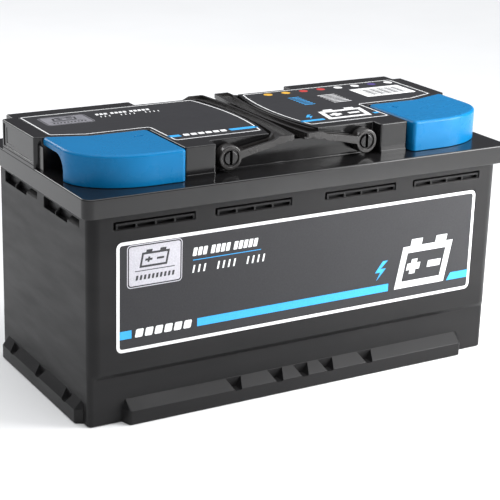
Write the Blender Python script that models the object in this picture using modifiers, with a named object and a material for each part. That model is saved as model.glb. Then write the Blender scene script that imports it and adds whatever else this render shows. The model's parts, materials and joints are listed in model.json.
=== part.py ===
"""Twelve volt AGM leisure battery in a long black case, with two folding carry handles.

The origin is at the centre of the footprint, on the surface that the battery stands on.
X runs along the case, the label faces -Y, and Z is up. All sizes are in metres.
"""
import math

import bmesh
import bpy
from mathutils import Matrix, Vector

MM = 0.001
GAP = 0.3 * MM                      # clearance left between two pieces that touch
FRONT, REAR = -1, 1
LEFT, RIGHT = -1, 1

# Overall size, over the lid's skirt and the hold-down ledges
LENGTH = 353 * MM
WIDTH = 175 * MM
HEIGHT = 190 * MM

# Case
CASE_X = 171 * MM                   # half length of the case wall
CASE_Y = 82 * MM                    # half width of the case wall
FOOT_Y = 79 * MM                    # half width below the step
STEP_LOW = 34 * MM
STEP_HIGH = 39 * MM
CASE_TOP = 163 * MM
CASE_CORNER = 8 * MM
FOOT_CORNER = 3 * MM
FLOOR = 3.5 * MM
END_WALL = 3.5 * MM
CELL_Y = 75.5 * MM                  # half width of the inside
PARTITION = 2.2 * MM
PARTITION_TOP = 159.5 * MM
CELLS = 6
CELL_PITCH = (2 * (CASE_X - END_WALL) + PARTITION) / CELLS

# Hold-down ledges around the foot
LEDGE_FACE = 10.5 * MM              # height of the upright face
LEDGE_WALL = 17 * MM                # height where the slope meets the wall
LEDGE_FRONT_X = 143 * MM            # half length of the front and rear ledges
LEDGE_END_Y = 67 * MM               # half length of the end ledges
LEDGE_FLARE = 3 * MM
NOTCH_FLOOR = 9.6 * MM
NOTCH_BOTTOM = 5 * MM
NOTCH_TOP = 15 * MM
FRONT_NOTCHES = (-57 * MM, -22 * MM, 0, 22 * MM, 57 * MM)
END_NOTCHES = (-48 * MM, 0, 48 * MM)

# Grip pockets under the skirt
GRIP_HIGH = 147.8 * MM
GRIP_LOW = 141.8 * MM
GRIP_RIDGE = 146 * MM               # underside of the slot above the windows
GRIP_DEPTH = 4 * MM
GRIP_LIP = 1 * MM
GRIP_LENGTH = 62 * MM
GRIP_STARTS = (14 * MM, 91.5 * MM)  # nearest end of each front pocket, from the middle
FRONT_WINDOWS = 4
END_GRIP_START = 5 * MM
END_GRIP_LOW = 139.5 * MM
END_WINDOWS = 3
GRIP_RIB = 1.4 * MM
GRIP_END_SLOT = 3.6 * MM
END_GRIP_DEPTH = 2.4 * MM

# Front label and the shallow space it lies in
FRONT_LABEL_X = 151.5 * MM          # half length
FRONT_LABEL_HALF_HEIGHT = 40 * MM
FRONT_LABEL_Z = 93 * MM             # height of its middle
FRONT_LABEL_CORNER = 4 * MM
FRONT_LABEL_MARGIN = 0.5 * MM

# Lid
SKIRT_BOTTOM = 153 * MM
FLANGE = 167 * MM
LID_CORNER = 7 * MM
LID_TOP = 189.5 * MM
PLATFORM_X = LENGTH / 2 - 0.2 * MM   # the platform's ends stand just inside the skirt
PLATFORM_REAR_X = 168.5 * MM
PLATFORM_Y = 69 * MM
PLATFORM_SHOULDER_Y = 57 * MM
RECESS_X = 93 * MM                  # inner wall of the terminal recesses
RECESS_INNER_Y = -12.3 * MM
RECESS_OUTER_Y = -2 * MM
RECESS_BEND_X = 139 * MM            # the back wall of a recess slants outwards from here
RECESS_BEND_Y = -12 * MM
RECESS_CHAMFER = 3 * MM
RECESS_LIP_X = 5 * MM               # length of the square end of the recess's back wall
RECESS_LIP_Y = 0.4 * MM
LID_WALL = 3 * MM
LID_ROOF = 3.7 * MM                 # thickness of the flange
POCKET_X = 69 * MM                  # half length of the handle pockets
POCKET_Y = 58.5 * MM                # wall at the back of a handle pocket
TROUGH_FLOOR = 183 * MM
TROUGH_MIDDLE = 12.6 * MM           # half width of the trough halfway along
TROUGH_END = 20.8 * MM              # half width of the trough at its ends
POCKET_FOOT = 1.3 * MM              # step along the foot of a pocket's wall
POCKET_FOOT_TOP = 168 * MM
POCKET_FOOT_X = 61 * MM
PLINTH_TOP = 169.6 * MM             # low plinths in front of and behind the platform
PLINTH_OUT = 0.5 * MM
PLINTH_DEEP = 5.5 * MM
PLINTH_INSET = 0.2 * MM
FIN_X = (172.5 * MM, 173.7 * MM)    # thin fins beside the cable exits
FIN_FRONT_Y = -12.2 * MM
FIN_TOP = 184.5 * MM
PANEL_DEPTH = 0.8 * MM
PANEL_Y = (1 * MM, 54 * MM)
PANEL_Z = (170.5 * MM, 187.5 * MM)
LABEL_DEPTH = 0.6 * MM
LABEL_THICK = 0.3 * MM

# Top labels, drawn for the right side
TOP_LABEL_FRONT_Y = -50 * MM
TOP_LABEL_REAR_Y = 56.5 * MM
TOP_LABEL_STEP_Y = -9.5 * MM        # edge behind the terminal recess
TOP_LABEL_OUTER_Y = -1.5 * MM
TOP_LABEL_OUTER_X = 165 * MM
TOP_LABEL_TROUGH_EDGE = 1.6 * MM
TOP_LABEL_RECESS_EDGE = 1.4 * MM
TOP_LABEL_BEND = 1 * MM
TOP_LABEL_MARGIN = 0.4 * MM

# Handles
PIVOT_X = 57 * MM
PIVOT_Z = 177.8 * MM
EYE_RADIUS = 9 * MM
EYE_HOLE = 5.5 * MM
EYE_GROOVE = 6.4 * MM
GROOVE_DEPTH = 1.2 * MM
PIN_RADIUS = 5.2 * MM
PIN_SLOT = 2.4 * MM
ARM_OUTSIDE = 68.8 * MM
ARM_INSIDE = 60.2 * MM
BAR_MIDDLE_IN = 0.9 * MM            # centre-facing edge, halfway along
BAR_END_IN = 5.2 * MM
BAR_MIDDLE_OUT = 10.9 * MM
BAR_END_OUT = 19 * MM
ARM_SWEEP = 9 * MM                  # radius where the crossbar turns into an arm
ARM_END_X = 52 * MM                 # the arms end inside their eyes
TIP_DEPTH = 3 * MM
# Lines along the right handle as seen from the front, as x and z
HANDLE_TOP_LINE = [(x * MM, z * MM) for x, z in
                   ((-5, 189.2), (16.4, 189.2), (19.5, 188.3), (23.5, 186.6), (34, 184.9), (70, 178.6))]
HANDLE_LOW_LINE = [(x * MM, z * MM) for x, z in
                   ((-5, 184.2), (20, 183.8), (22, 182.2), (33.5, 180.4), (70, 171.2))]
TIP_OUTLINE = [(x * MM, z * MM) for x, z in
               ((-5, 175), (13.5, 175), (13.5, 184.1), (10, 185.9), (-5, 186.3))]

# Terminals
TERMINAL_X = 137 * MM
TERMINAL_Y = -40 * MM
POST_HEIGHT = 18 * MM
POST_TAPER = 1 / 9                  # change of diameter along the post
POSITIVE_BASE = 9.75 * MM
NEGATIVE_BASE = 8.95 * MM
POST_BORE = 5.5 * MM
POST_FLANGE_THICK = 1.5 * MM
POST_FLANGE_EDGE = 2 * MM           # how far the flange reaches over the hole's edge
POST_ROOT = 3.5 * MM                # depth of the bushing below the lid's flange
RISER_RADIUS = 5.2 * MM
BUSHING_RADIUS = 13 * MM

# Terminal covers
COVER_TOP = HEIGHT
COVER_WALL = 2 * MM
COVER_INNER_X = 95 * MM
COVER_OUTER_X = 171 * MM
COVER_FRONT_Y = -74.5 * MM
COVER_BACK_Y = -13.5 * MM
COVER_BACK_OUTER_Y = -3.5 * MM
COVER_SWEEP_X = 121 * MM            # where the flat front turns into the sweep
COVER_SWEEP_Y = -40 * MM
COVER_CHAMFER = 3 * MM
CABLE_EXIT_TOP = 185 * MM
CABLE_EXIT_RADIUS = 13 * MM
CABLE_EXIT_REAR_Y = -1.5 * MM
OPEN_BACK_X = (143 * MM, 170 * MM)  # the back wall is open here, beside the cable exit
OPEN_BACK_TOP = 184.9 * MM

# Cells
PLATE_Y = 72 * MM
PLATE_BOTTOM = FLOOR + GAP
PLATE_TOP = 131 * MM
POSITIVE_COUNT = 5
NEGATIVE_COUNT = 6
POSITIVE_THICK = 2.6 * MM
NEGATIVE_THICK = 2.2 * MM
PLATE_SPACE = 2.4 * MM
MAT_THICK = PLATE_SPACE - 2 * GAP
LUG_Y = 40 * MM
LUG_WIDTH = 14 * MM
STRAP_WIDTH = 22 * MM
STRAP_BOTTOM = 138 * MM
STRAP_TOP = 145 * MM
EAR_TOP = 157 * MM
EAR_THICK = 2.5 * MM
STRAP_HALF = 24.5 * MM
CONNECTOR_RADIUS = 5 * MM
CONNECTOR_Z = 151 * MM

# Valves
INNER_LID_BOTTOM = PARTITION_TOP + GAP
INNER_LID_TOP = INNER_LID_BOTTOM + 2.8 * MM
VALVE_Y = 28 * MM
NOZZLE_RADIUS = 7 * MM
NOZZLE_BORE = 4 * MM
NOZZLE_TOP = 171 * MM
VALVE_CAP_RADIUS = 9.5 * MM
VALVE_CAP_BOTTOM = 163.6 * MM
VALVE_CAP_TOP = 173 * MM
GAS_OUTLET_RADIUS = 2.5 * MM
GAS_OUTLET_Z = 178 * MM
ARRESTOR_RADIUS = 6.5 * MM
ARRESTOR_THICK = 3 * MM

# Name: colour, roughness, metallic
MATERIALS = {
    "case_black": ((0.045, 0.045, 0.048), 0.45, 0.0),
    "lid_black": ((0.035, 0.035, 0.037), 0.32, 0.0),
    "handle_black": ((0.055, 0.052, 0.052), 0.5, 0.0),
    "cover_blue": ((0.06, 0.28, 0.62), 0.3, 0.0),
    "label_film": ((0.07, 0.07, 0.075), 0.35, 0.0),
    "lead": ((0.36, 0.37, 0.39), 0.5, 1.0),
    "positive_plate": ((0.20, 0.10, 0.06), 0.85, 0.0),
    "negative_plate": ((0.30, 0.31, 0.33), 0.7, 0.3),
    "glass_mat": ((0.85, 0.85, 0.82), 0.95, 0.0),
    "inner_plastic": ((0.12, 0.12, 0.13), 0.5, 0.0),
    "valve_rubber": ((0.02, 0.02, 0.02), 0.8, 0.0),
    "arrestor_frit": ((0.75, 0.74, 0.70), 0.95, 0.0),
}


def clear_scene():
    for obj in list(bpy.data.objects):
        bpy.data.objects.remove(obj, do_unlink=True)


def make_collection(name):
    collection = bpy.data.collections.new(name)
    bpy.context.scene.collection.children.link(collection)
    return collection


def material_for(slot):
    if slot in bpy.data.materials:
        return bpy.data.materials[slot]
    colour, roughness, metallic = MATERIALS[slot]
    material = bpy.data.materials.new(slot)
    material.use_nodes = True
    shader = material.node_tree.nodes["Principled BSDF"]
    shader.inputs["Base Color"].default_value = (*colour, 1.0)
    shader.inputs["Roughness"].default_value = roughness
    shader.inputs["Metallic"].default_value = metallic
    return material


clear_scene()
PARTS = make_collection("agm_battery")
CUTTERS = make_collection("cutters")


# ---------------------------------------------------------------- shapes

def object_from(bm, name, slot):
    """Turn a bmesh into a part of material slot, or into a cutter when slot is None."""
    mesh = bpy.data.meshes.new(name)
    bm.to_mesh(mesh)
    bm.free()
    obj = bpy.data.objects.new(name, mesh)
    place(obj, slot)
    return obj


def place(obj, slot):
    if slot is None:
        CUTTERS.objects.link(obj)
        obj.hide_render = True
        obj.display_type = "WIRE"
    else:
        PARTS.objects.link(obj)
        obj.data.materials.append(material_for(slot))


def boxes(name, ranges, slot=None):
    """One mesh of separate boxes, each given by its lowest and highest corner."""
    bm = bmesh.new()
    for low, high in ranges:
        middle = (Vector(low) + Vector(high)) / 2
        size = Vector(high) - Vector(low)
        matrix = Matrix.Translation(middle) @ Matrix.Diagonal((*size, 1))
        bmesh.ops.create_cube(bm, size=1, matrix=matrix)
    return object_from(bm, name, slot)


def box(name, low, high, slot=None):
    return boxes(name, [(low, high)], slot)


def shaped_boxes(name, shapes, slot=None):
    """Boxes whose corners are moved: each shape maps 0 or 1 along x, y and z to a point."""
    bm = bmesh.new()
    for shape in shapes:
        corners = bmesh.ops.create_cube(bm, size=1)["verts"]
        for vert in corners:
            vert.co = Vector(shape(*(round(value + 0.5) for value in vert.co)))
    bmesh.ops.recalc_face_normals(bm, faces=bm.faces)
    return object_from(bm, name, slot)


def cylinder(name, centre, radius, length, axis, slot=None, sides=32):
    bm = bmesh.new()
    turn = {"X": Matrix.Rotation(math.pi / 2, 4, "Y"),
            "Y": Matrix.Rotation(math.pi / 2, 4, "X"),
            "Z": Matrix.Identity(4)}[axis]
    bmesh.ops.create_cone(bm, cap_ends=True, segments=sides, radius1=radius, radius2=radius,
                          depth=length, matrix=turn)
    obj = object_from(bm, name, slot)
    obj.location = centre
    return obj


# How an outline's own x, y and thickness map to the world for each direction of thickness
OUTLINE_AXES = {
    "X": Matrix(((0, 0, 1, 0), (1, 0, 0, 0), (0, 1, 0, 0), (0, 0, 0, 1))),
    "Y": Matrix(((1, 0, 0, 0), (0, 0, -1, 0), (0, 1, 0, 0), (0, 0, 0, 1))),
    "Z": Matrix.Identity(4),
}


def prism(name, outlines, low, high, axis, slot=None):
    """Flat outlines given thickness from low to high along an axis."""
    curve = bpy.data.curves.new(name, "CURVE")
    curve.dimensions = "2D"
    curve.fill_mode = "BOTH"
    curve.extrude = (high - low) / 2
    for outline in outlines:
        spline = curve.splines.new("POLY")
        spline.points.add(len(outline) - 1)
        for point, (u, v) in zip(spline.points, outline):
            point.co = (u, v, 0, 1)
        spline.use_cyclic_u = True
    source = bpy.data.objects.new(name + "_outline", curve)
    CUTTERS.objects.link(source)
    depsgraph = bpy.context.evaluated_depsgraph_get()
    mesh = bpy.data.meshes.new_from_object(source.evaluated_get(depsgraph))
    bpy.data.objects.remove(source)
    bm = bmesh.new()
    bm.from_mesh(mesh)
    bpy.data.meshes.remove(mesh)
    bmesh.ops.remove_doubles(bm, verts=bm.verts, dist=0.000001)
    shift = {"X": ((low + high) / 2, 0, 0), "Y": (0, (low + high) / 2, 0),
             "Z": (0, 0, (low + high) / 2)}[axis]
    bm.transform(Matrix.Translation(shift) @ OUTLINE_AXES[axis])
    bmesh.ops.recalc_face_normals(bm, faces=bm.faces)
    if bm.calc_volume(signed=True) < 0:
        bmesh.ops.reverse_faces(bm, faces=bm.faces)
    return object_from(bm, name, slot)


def turned(name, profile, centre, slot=None, closed=False, steps=32):
    """A profile of (radius, height) points, run down its outer side, turned about Z."""
    mesh = bpy.data.meshes.new(name)
    edges = [(i, i + 1) for i in range(len(profile) - 1)]
    if closed:
        edges.append((len(profile) - 1, 0))
    mesh.from_pydata([(radius, 0, height) for radius, height in profile], edges, [])
    obj = bpy.data.objects.new(name, mesh)
    place(obj, slot)
    obj.location = centre
    screw = obj.modifiers.new("Turn", "SCREW")
    screw.steps = steps
    screw.render_steps = steps
    screw.use_merge_vertices = True
    screw.merge_threshold = 0.000001
    return obj


def rounded_rectangle(half_x, half_y, radius, steps=4):
    points = []
    for quarter, (sx, sy) in enumerate(((1, 1), (-1, 1), (-1, -1), (1, -1))):
        for step in range(steps + 1):
            angle = math.pi / 2 * (quarter + step / steps)
            points.append((sx * (half_x - radius) + radius * math.cos(angle),
                           sy * (half_y - radius) + radius * math.sin(angle)))
    return points


def lofted(name, rings, slot=None):
    """A solid through rounded rectangles given as (height, half_x, half_y, corner radius)."""
    bm = bmesh.new()
    layers = []
    for height, half_x, half_y, radius in rings:
        outline = rounded_rectangle(half_x, half_y, radius)
        layers.append([bm.verts.new((x, y, height)) for x, y in outline])
    count = len(layers[0])
    for lower, upper in zip(layers, layers[1:]):
        for i in range(count):
            j = (i + 1) % count
            bm.faces.new((lower[i], lower[j], upper[j], upper[i]))
    bm.faces.new(reversed(layers[0]))
    bm.faces.new(layers[-1])
    return object_from(bm, name, slot)


def combine(obj, other, operation):
    modifier = obj.modifiers.new(other.name, "BOOLEAN")
    modifier.operation = operation
    modifier.solver = "EXACT"
    modifier.object = other


def cut(obj, *cutters):
    for cutter in cutters:
        combine(obj, cutter, "DIFFERENCE")


def join(obj, *others):
    for other in others:
        combine(obj, other, "UNION")


def smooth(obj, angle=35):
    obj.data.shade_smooth()
    obj.data.set_sharp_from_angle(angle=math.radians(angle))


def mirrored(outline, side):
    """The outline as drawn for the right side, or flipped to the left."""
    if side == RIGHT:
        return outline
    return [(-x, y) for x, y in reversed(outline)]


def side_name(side):
    return "right" if side == RIGHT else "left"


def end_name(end):
    return "rear" if end == REAR else "front"


# ---------------------------------------------------------------- case

def cell_centre(number):
    """Middle of cell 1 to 6 along X, counted from the negative end."""
    return (number - (CELLS + 1) / 2) * CELL_PITCH


def long_ledge(side):
    def shape(along, out, up):
        x = (2 * along - 1) * (LEDGE_FRONT_X + (0 if out else LEDGE_FLARE))
        y = side * (WIDTH / 2 if out else FOOT_Y - 1 * MM)
        z = up * (LEDGE_FACE if out else LEDGE_WALL + 0.7 * MM)
        return x, y, z
    return shape


def end_ledge(side):
    def shape(out, along, up):
        x = side * (LENGTH / 2 if out else CASE_X - 1 * MM)
        y = (2 * along - 1) * (LEDGE_END_Y + (0 if out else LEDGE_FLARE))
        z = up * (LEDGE_FACE if out else LEDGE_WALL + 1 * MM)
        return x, y, z
    return shape


def ledge_notch(centre, side, along_x):
    """A notch with slanted flanks through the slope of a ledge."""
    wall = FOOT_Y if along_x else CASE_X
    edge = (WIDTH if along_x else LENGTH) / 2

    def shape(first, second, up):
        along, out = (first, second) if along_x else (second, first)
        half = (NOTCH_TOP if up else NOTCH_BOTTOM) / 2
        position = centre + (2 * along - 1) * half
        reach = side * (edge + 1 * MM if out else wall + GAP)
        height = LEDGE_WALL + 2 * MM if up else NOTCH_FLOOR
        return (position, reach, height) if along_x else (reach, position, height)
    return shape


def grip_boxes(start, length, windows, low, wall, depth):
    """Lip, slot and windows of one grip pocket as (along, out, height) boxes."""
    lip = [((start, wall - GRIP_LIP, low), (start + length, wall + 1 * MM, GRIP_HIGH))]
    slot_start = start + GRIP_END_SLOT
    deep = [((start, wall - depth, GRIP_RIDGE), (start + length, wall + 1 * MM, GRIP_HIGH)),
            ((start, wall - depth, low), (slot_start - GRIP_RIB, wall + 1 * MM, GRIP_RIDGE))]
    pitch = (start + length - slot_start) / windows
    for number in range(windows):
        near = slot_start + number * pitch
        deep.append(((near, wall - depth, low),
                     (near + pitch - GRIP_RIB, wall + 1 * MM, GRIP_RIDGE - GRIP_RIB)))
    return lip, deep


def turned_box(low, high, side, along_x):
    """Place an (along, out, height) box on the front, rear, left or right wall."""
    (a0, o0, z0), (a1, o1, z1) = low, high
    near, far = sorted((side * o0, side * o1))
    if along_x:
        return (a0, near, z0), (a1, far, z1)
    return (near, a0, z0), (far, a1, z1)


def grip_cutters():
    lips, deeps = [], []
    for side in (-1, 1):
        for start in GRIP_STARTS:
            for along in (start, -start - GRIP_LENGTH):
                lip, deep = grip_boxes(along, GRIP_LENGTH, FRONT_WINDOWS, GRIP_LOW, CASE_Y,
                                       GRIP_DEPTH)
                lips += [turned_box(*item, side, True) for item in lip]
                deeps += [turned_box(*item, side, True) for item in deep]
        for along in (END_GRIP_START, -END_GRIP_START - GRIP_LENGTH):
            lip, deep = grip_boxes(along, GRIP_LENGTH, END_WINDOWS, END_GRIP_LOW, CASE_X,
                                   END_GRIP_DEPTH)
            lips += [turned_box(*item, side, False) for item in lip]
            deeps += [turned_box(*item, side, False) for item in deep]
    return lips, deeps


def build_case():
    case = lofted("case", [(0, CASE_X, FOOT_Y, FOOT_CORNER),
                           (STEP_LOW, CASE_X, FOOT_Y, FOOT_CORNER),
                           (STEP_HIGH, CASE_X, CASE_Y, CASE_CORNER),
                           (CASE_TOP, CASE_X, CASE_Y, CASE_CORNER)], "case_black")
    ledges = [long_ledge(side) for side in (FRONT, REAR)] + [end_ledge(side) for side in (LEFT, RIGHT)]
    join(case, shaped_boxes("ledges", ledges))

    notches = []
    for side in (-1, 1):
        notches += [ledge_notch(x, side, True) for x in FRONT_NOTCHES]
        notches += [ledge_notch(y, side, False) for y in END_NOTCHES]
    cut(case, shaped_boxes("ledge_notches", notches))

    lips, deeps = grip_cutters()
    for number, item in enumerate((lips, deeps[0::2], deeps[1::2])):
        cut(case, boxes(f"grip_cut_{number}", item))

    inside = []
    for number in range(1, CELLS + 1):
        half = (CELL_PITCH - PARTITION) / 2
        x = cell_centre(number)
        inside.append(((x - half, -CELL_Y, FLOOR), (x + half, CELL_Y, PARTITION_TOP + 1 * MM)))
    cut(case, boxes("cell_spaces", inside))
    rim_x = CASE_X - END_WALL
    cut(case, box("rim_space", (-rim_x, -CELL_Y, PARTITION_TOP), (rim_x, CELL_Y, CASE_TOP + 5 * MM)))
    for number in range(1, CELLS):
        centre = (cell_centre(number) + CELL_PITCH / 2, connector_y(number), CONNECTOR_Z)
        cut(case, cylinder(f"partition_hole_{number}", centre, CONNECTOR_RADIUS + GAP,
                           PARTITION + 2 * MM, "X", sides=20))
    half_x = FRONT_LABEL_X + FRONT_LABEL_MARGIN
    half_z = FRONT_LABEL_HALF_HEIGHT + FRONT_LABEL_MARGIN
    cut(case, box("front_label_space", (-half_x, -CASE_Y - 1 * MM, FRONT_LABEL_Z - half_z),
                  (half_x, -CASE_Y + LABEL_DEPTH, FRONT_LABEL_Z + half_z)))
    return case


# ---------------------------------------------------------------- lid

def platform_outline():
    """Raised part of the lid seen from above, with the handle pockets left out of it."""
    half = [(POCKET_X, -POCKET_Y), (POCKET_X, -PLATFORM_Y),
            (RECESS_X, -PLATFORM_Y), (RECESS_X, RECESS_INNER_Y - RECESS_CHAMFER),
            (RECESS_X + RECESS_CHAMFER, RECESS_INNER_Y), (RECESS_BEND_X, RECESS_BEND_Y),
            (PLATFORM_X - RECESS_LIP_X, RECESS_OUTER_Y - RECESS_LIP_Y), (PLATFORM_X, RECESS_OUTER_Y),
            (PLATFORM_X, PLATFORM_SHOULDER_Y), (PLATFORM_REAR_X, PLATFORM_SHOULDER_Y),
            (PLATFORM_REAR_X, PLATFORM_Y), (POCKET_X, PLATFORM_Y), (POCKET_X, POCKET_Y)]
    return half + [(-x, y) for x, y in reversed(half)]


def trough_half_width(y):
    return TROUGH_MIDDLE + (TROUGH_END - TROUGH_MIDDLE) * (y / POCKET_Y) ** 2


def trough_outline(reach, steps=10):
    ys = [reach * (2 * i / steps - 1) for i in range(steps + 1)]
    return [(trough_half_width(y), y) for y in ys] + [(-trough_half_width(y), y) for y in reversed(ys)]


def top_label_outline(margin, steps=8):
    """The right-hand top label, inset by margin from its recess's edge."""
    low, high = TOP_LABEL_FRONT_Y + margin, TOP_LABEL_REAR_Y - margin
    ys = [high + (low - high) * i / steps for i in range(steps + 1)]
    inner = [(trough_half_width(y) + TOP_LABEL_TROUGH_EDGE + margin, y) for y in ys]
    edge, far = RECESS_X - TOP_LABEL_RECESS_EDGE - margin, TOP_LABEL_OUTER_X - margin
    step = TOP_LABEL_STEP_Y + margin
    return inner + [(edge, low), (edge, step), (RECESS_BEND_X + TOP_LABEL_BEND, step),
                    (far, TOP_LABEL_OUTER_Y + margin), (far, high)]


def lid_additions():
    """Steps at the foot of the pockets, plinths along the platform and fins beside the cable exits."""
    additions = []
    for end in (FRONT, REAR):
        low, high = sorted((end * (POCKET_Y - 1 * MM), end * (POCKET_Y + POCKET_FOOT)))
        additions.append(((-POCKET_FOOT_X, low, FLANGE - 1 * MM), (POCKET_FOOT_X, high, POCKET_FOOT_TOP)))
    for side in (LEFT, RIGHT):
        for end in (FRONT, REAR):
            low, high = sorted((end * (PLATFORM_Y - PLINTH_DEEP), end * (PLATFORM_Y + PLINTH_OUT)))
            additions.append(side_box(side, (POCKET_X + PLINTH_INSET, low, FLANGE - 1 * MM),
                                      (RECESS_X - PLINTH_INSET, high, PLINTH_TOP)))
        additions.append(side_box(side, (FIN_X[0], FIN_FRONT_Y, FLANGE - 1.5 * MM), (FIN_X[1], 0, FIN_TOP)))
    return additions


def build_lid():
    lid = lofted("lid", [(SKIRT_BOTTOM, LENGTH / 2, WIDTH / 2, LID_CORNER),
                         (FLANGE, LENGTH / 2, WIDTH / 2, LID_CORNER)], "lid_black")
    join(lid, prism("platform", [platform_outline()], FLANGE - 3 * MM, LID_TOP, "Z"),
         boxes("lid_additions", lid_additions()))

    under = FLANGE - LID_ROOF
    cut(lid, lofted("skirt_space", [(SKIRT_BOTTOM - 5 * MM, CASE_X + GAP, CASE_Y + GAP, CASE_CORNER),
                                    (under, CASE_X + GAP, CASE_Y + GAP, CASE_CORNER)]))
    hidden_top = LID_TOP - LABEL_DEPTH - LID_WALL
    inside_y = POCKET_Y - LID_WALL
    trough_x = TROUGH_END + LID_WALL
    low_z = under - 2 * MM
    cut(lid, box("middle_space", (-trough_x - 5 * MM, -inside_y, low_z),
                 (trough_x + 5 * MM, inside_y, TROUGH_FLOOR - LID_WALL)))
    end_spaces, corner_spaces = [], []
    for side in (LEFT, RIGHT):
        near, bend, far = trough_x, RECESS_X - LID_WALL, PLATFORM_X - LID_WALL
        end_spaces.append(side_box(side, (near, -inside_y, low_z - 1 * MM), (bend, inside_y, hidden_top)))
        corner_spaces.append(side_box(side, (bend - 5 * MM, RECESS_OUTER_Y + LID_WALL, low_z - 2 * MM),
                                      (far, PLATFORM_SHOULDER_Y - LID_WALL, hidden_top - 0.5 * MM)))
    cut(lid, boxes("end_spaces", end_spaces), boxes("corner_spaces", corner_spaces))

    cut(lid, prism("trough", [trough_outline(POCKET_Y + 4 * MM)], TROUGH_FLOOR, HEIGHT + 6 * MM, "Z"))
    labels = [mirrored(top_label_outline(0), side) for side in (LEFT, RIGHT)]
    cut(lid, prism("top_label_spaces", labels, LID_TOP - LABEL_DEPTH, HEIGHT + 3 * MM, "Z"))

    panels = []
    for side in (LEFT, RIGHT):
        panels.append(side_box(side, (PLATFORM_X - PANEL_DEPTH, PANEL_Y[0], PANEL_Z[0]),
                               (PLATFORM_X + 2 * MM, PANEL_Y[1], PANEL_Z[1])))
        cut(lid, cylinder(f"terminal_hole_{side_name(side)}", (side * TERMINAL_X, TERMINAL_Y, FLANGE),
                          BUSHING_RADIUS, 20 * MM, "Z"))
    cut(lid, boxes("end_panels", panels))
    cut(lid, cylinder("gas_outlet", (PLATFORM_X, VALVE_Y, GAS_OUTLET_Z), GAS_OUTLET_RADIUS, 10 * MM,
                      "X", sides=16))
    return lid


def side_box(side, low, high):
    """A box drawn for the right side, or its mirror image on the left."""
    if side == RIGHT:
        return low, high
    return (-high[0], low[1], low[2]), (-low[0], high[1], high[2])


# ---------------------------------------------------------------- handles

def bar_edge(middle, end, y):
    return middle + (end - middle) * (y / ARM_OUTSIDE) ** 2


def handle_outline(steps=8):
    """The right handle seen from above: a bowed crossbar that sweeps round into an arm at each end."""
    turn_y = ARM_INSIDE - ARM_SWEEP
    turn_x = bar_edge(BAR_MIDDLE_OUT, BAR_END_OUT, turn_y) + ARM_SWEEP
    rear = []
    for i in range(steps):
        y = turn_y * i / steps
        rear.append((bar_edge(BAR_MIDDLE_OUT, BAR_END_OUT, y), y))
    for i in range(steps + 1):
        angle = math.pi - math.pi / 2 * i / steps
        rear.append((turn_x + ARM_SWEEP * math.cos(angle), turn_y + ARM_SWEEP * math.sin(angle)))
    rear += [(ARM_END_X, ARM_INSIDE), (ARM_END_X, ARM_OUTSIDE)]
    for i in range(steps, -1, -1):
        y = ARM_OUTSIDE * i / steps
        rear.append((bar_edge(BAR_MIDDLE_IN, BAR_END_IN, y), y))
    return rear + [(x, -y) for x, y in reversed(rear[1:-1])]


def eye_cylinder(name, side, end, radius, low, high):
    middle = end * (low + high) / 2
    return cylinder(name, (side * PIVOT_X, middle, PIVOT_Z), radius, high - low, "Y", sides=28)


def build_handle(side):
    name = f"handle_{side_name(side)}"
    handle = prism(name, [mirrored(handle_outline(), side)], PIVOT_Z - EYE_RADIUS, HEIGHT, "Z",
                   "handle_black")
    handle.data.transform(Matrix.Translation((-side * PIVOT_X, 0, -PIVOT_Z)))
    handle.location = (side * PIVOT_X, 0, PIVOT_Z)
    last_x, first_x = HANDLE_TOP_LINE[-1][0], HANDLE_TOP_LINE[0][0]
    above = HANDLE_TOP_LINE + [(last_x, HEIGHT + 5 * MM), (first_x, HEIGHT + 5 * MM)]
    below = HANDLE_LOW_LINE + [(last_x, CASE_TOP), (first_x, CASE_TOP)]
    for suffix, outline in (("above", above), ("below", below)):
        cut(handle, prism(f"{name}_{suffix}", [mirrored(outline, side)], -WIDTH / 2, WIDTH / 2, "Y"))
    for end in (FRONT, REAR):
        low, high = sorted((end * (ARM_OUTSIDE - TIP_DEPTH), end * (ARM_OUTSIDE + 1 * MM)))
        cut(handle, prism(f"{name}_tip_{end_name(end)}", [mirrored(TIP_OUTLINE, side)], low, high, "Y"))
        join(handle, eye_cylinder(f"{name}_eye_{end_name(end)}", side, end, EYE_RADIUS, ARM_INSIDE,
                                  ARM_OUTSIDE))
    for end in (FRONT, REAR):
        suffix = f"{side_name(side)}_{end_name(end)}"
        cut(handle, eye_cylinder(f"eye_hole_{suffix}", side, end, EYE_HOLE,
                               ARM_INSIDE - 2 * MM, ARM_OUTSIDE + 2 * MM))
        cut(handle, eye_cylinder(f"eye_groove_{suffix}", side, end, EYE_GROOVE,
                               ARM_OUTSIDE - GROOVE_DEPTH, ARM_OUTSIDE + 2 * MM))
    return handle


def build_pivot_pin(side, end):
    """Split snap pin: two half-round prongs on a short root."""
    name = f"pivot_pin_{end_name(end)}_{side_name(side)}"
    root, tip = POCKET_Y + GAP, ARM_OUTSIDE + 0.1 * MM
    centre = (side * PIVOT_X, end * (root + tip) / 2, PIVOT_Z)
    pin = cylinder(name, centre, PIN_RADIUS, tip - root, "Y", "lid_black", sides=28)
    low, high = sorted((end * (root + 2 * MM), end * (tip + 1 * MM)))
    cut(pin, box(f"{name}_slot", (centre[0] - PIN_SLOT / 2, low, PIVOT_Z - EYE_RADIUS),
                 (centre[0] + PIN_SLOT / 2, high, PIVOT_Z + EYE_RADIUS)))
    return pin


# ---------------------------------------------------------------- terminals and covers

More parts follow.
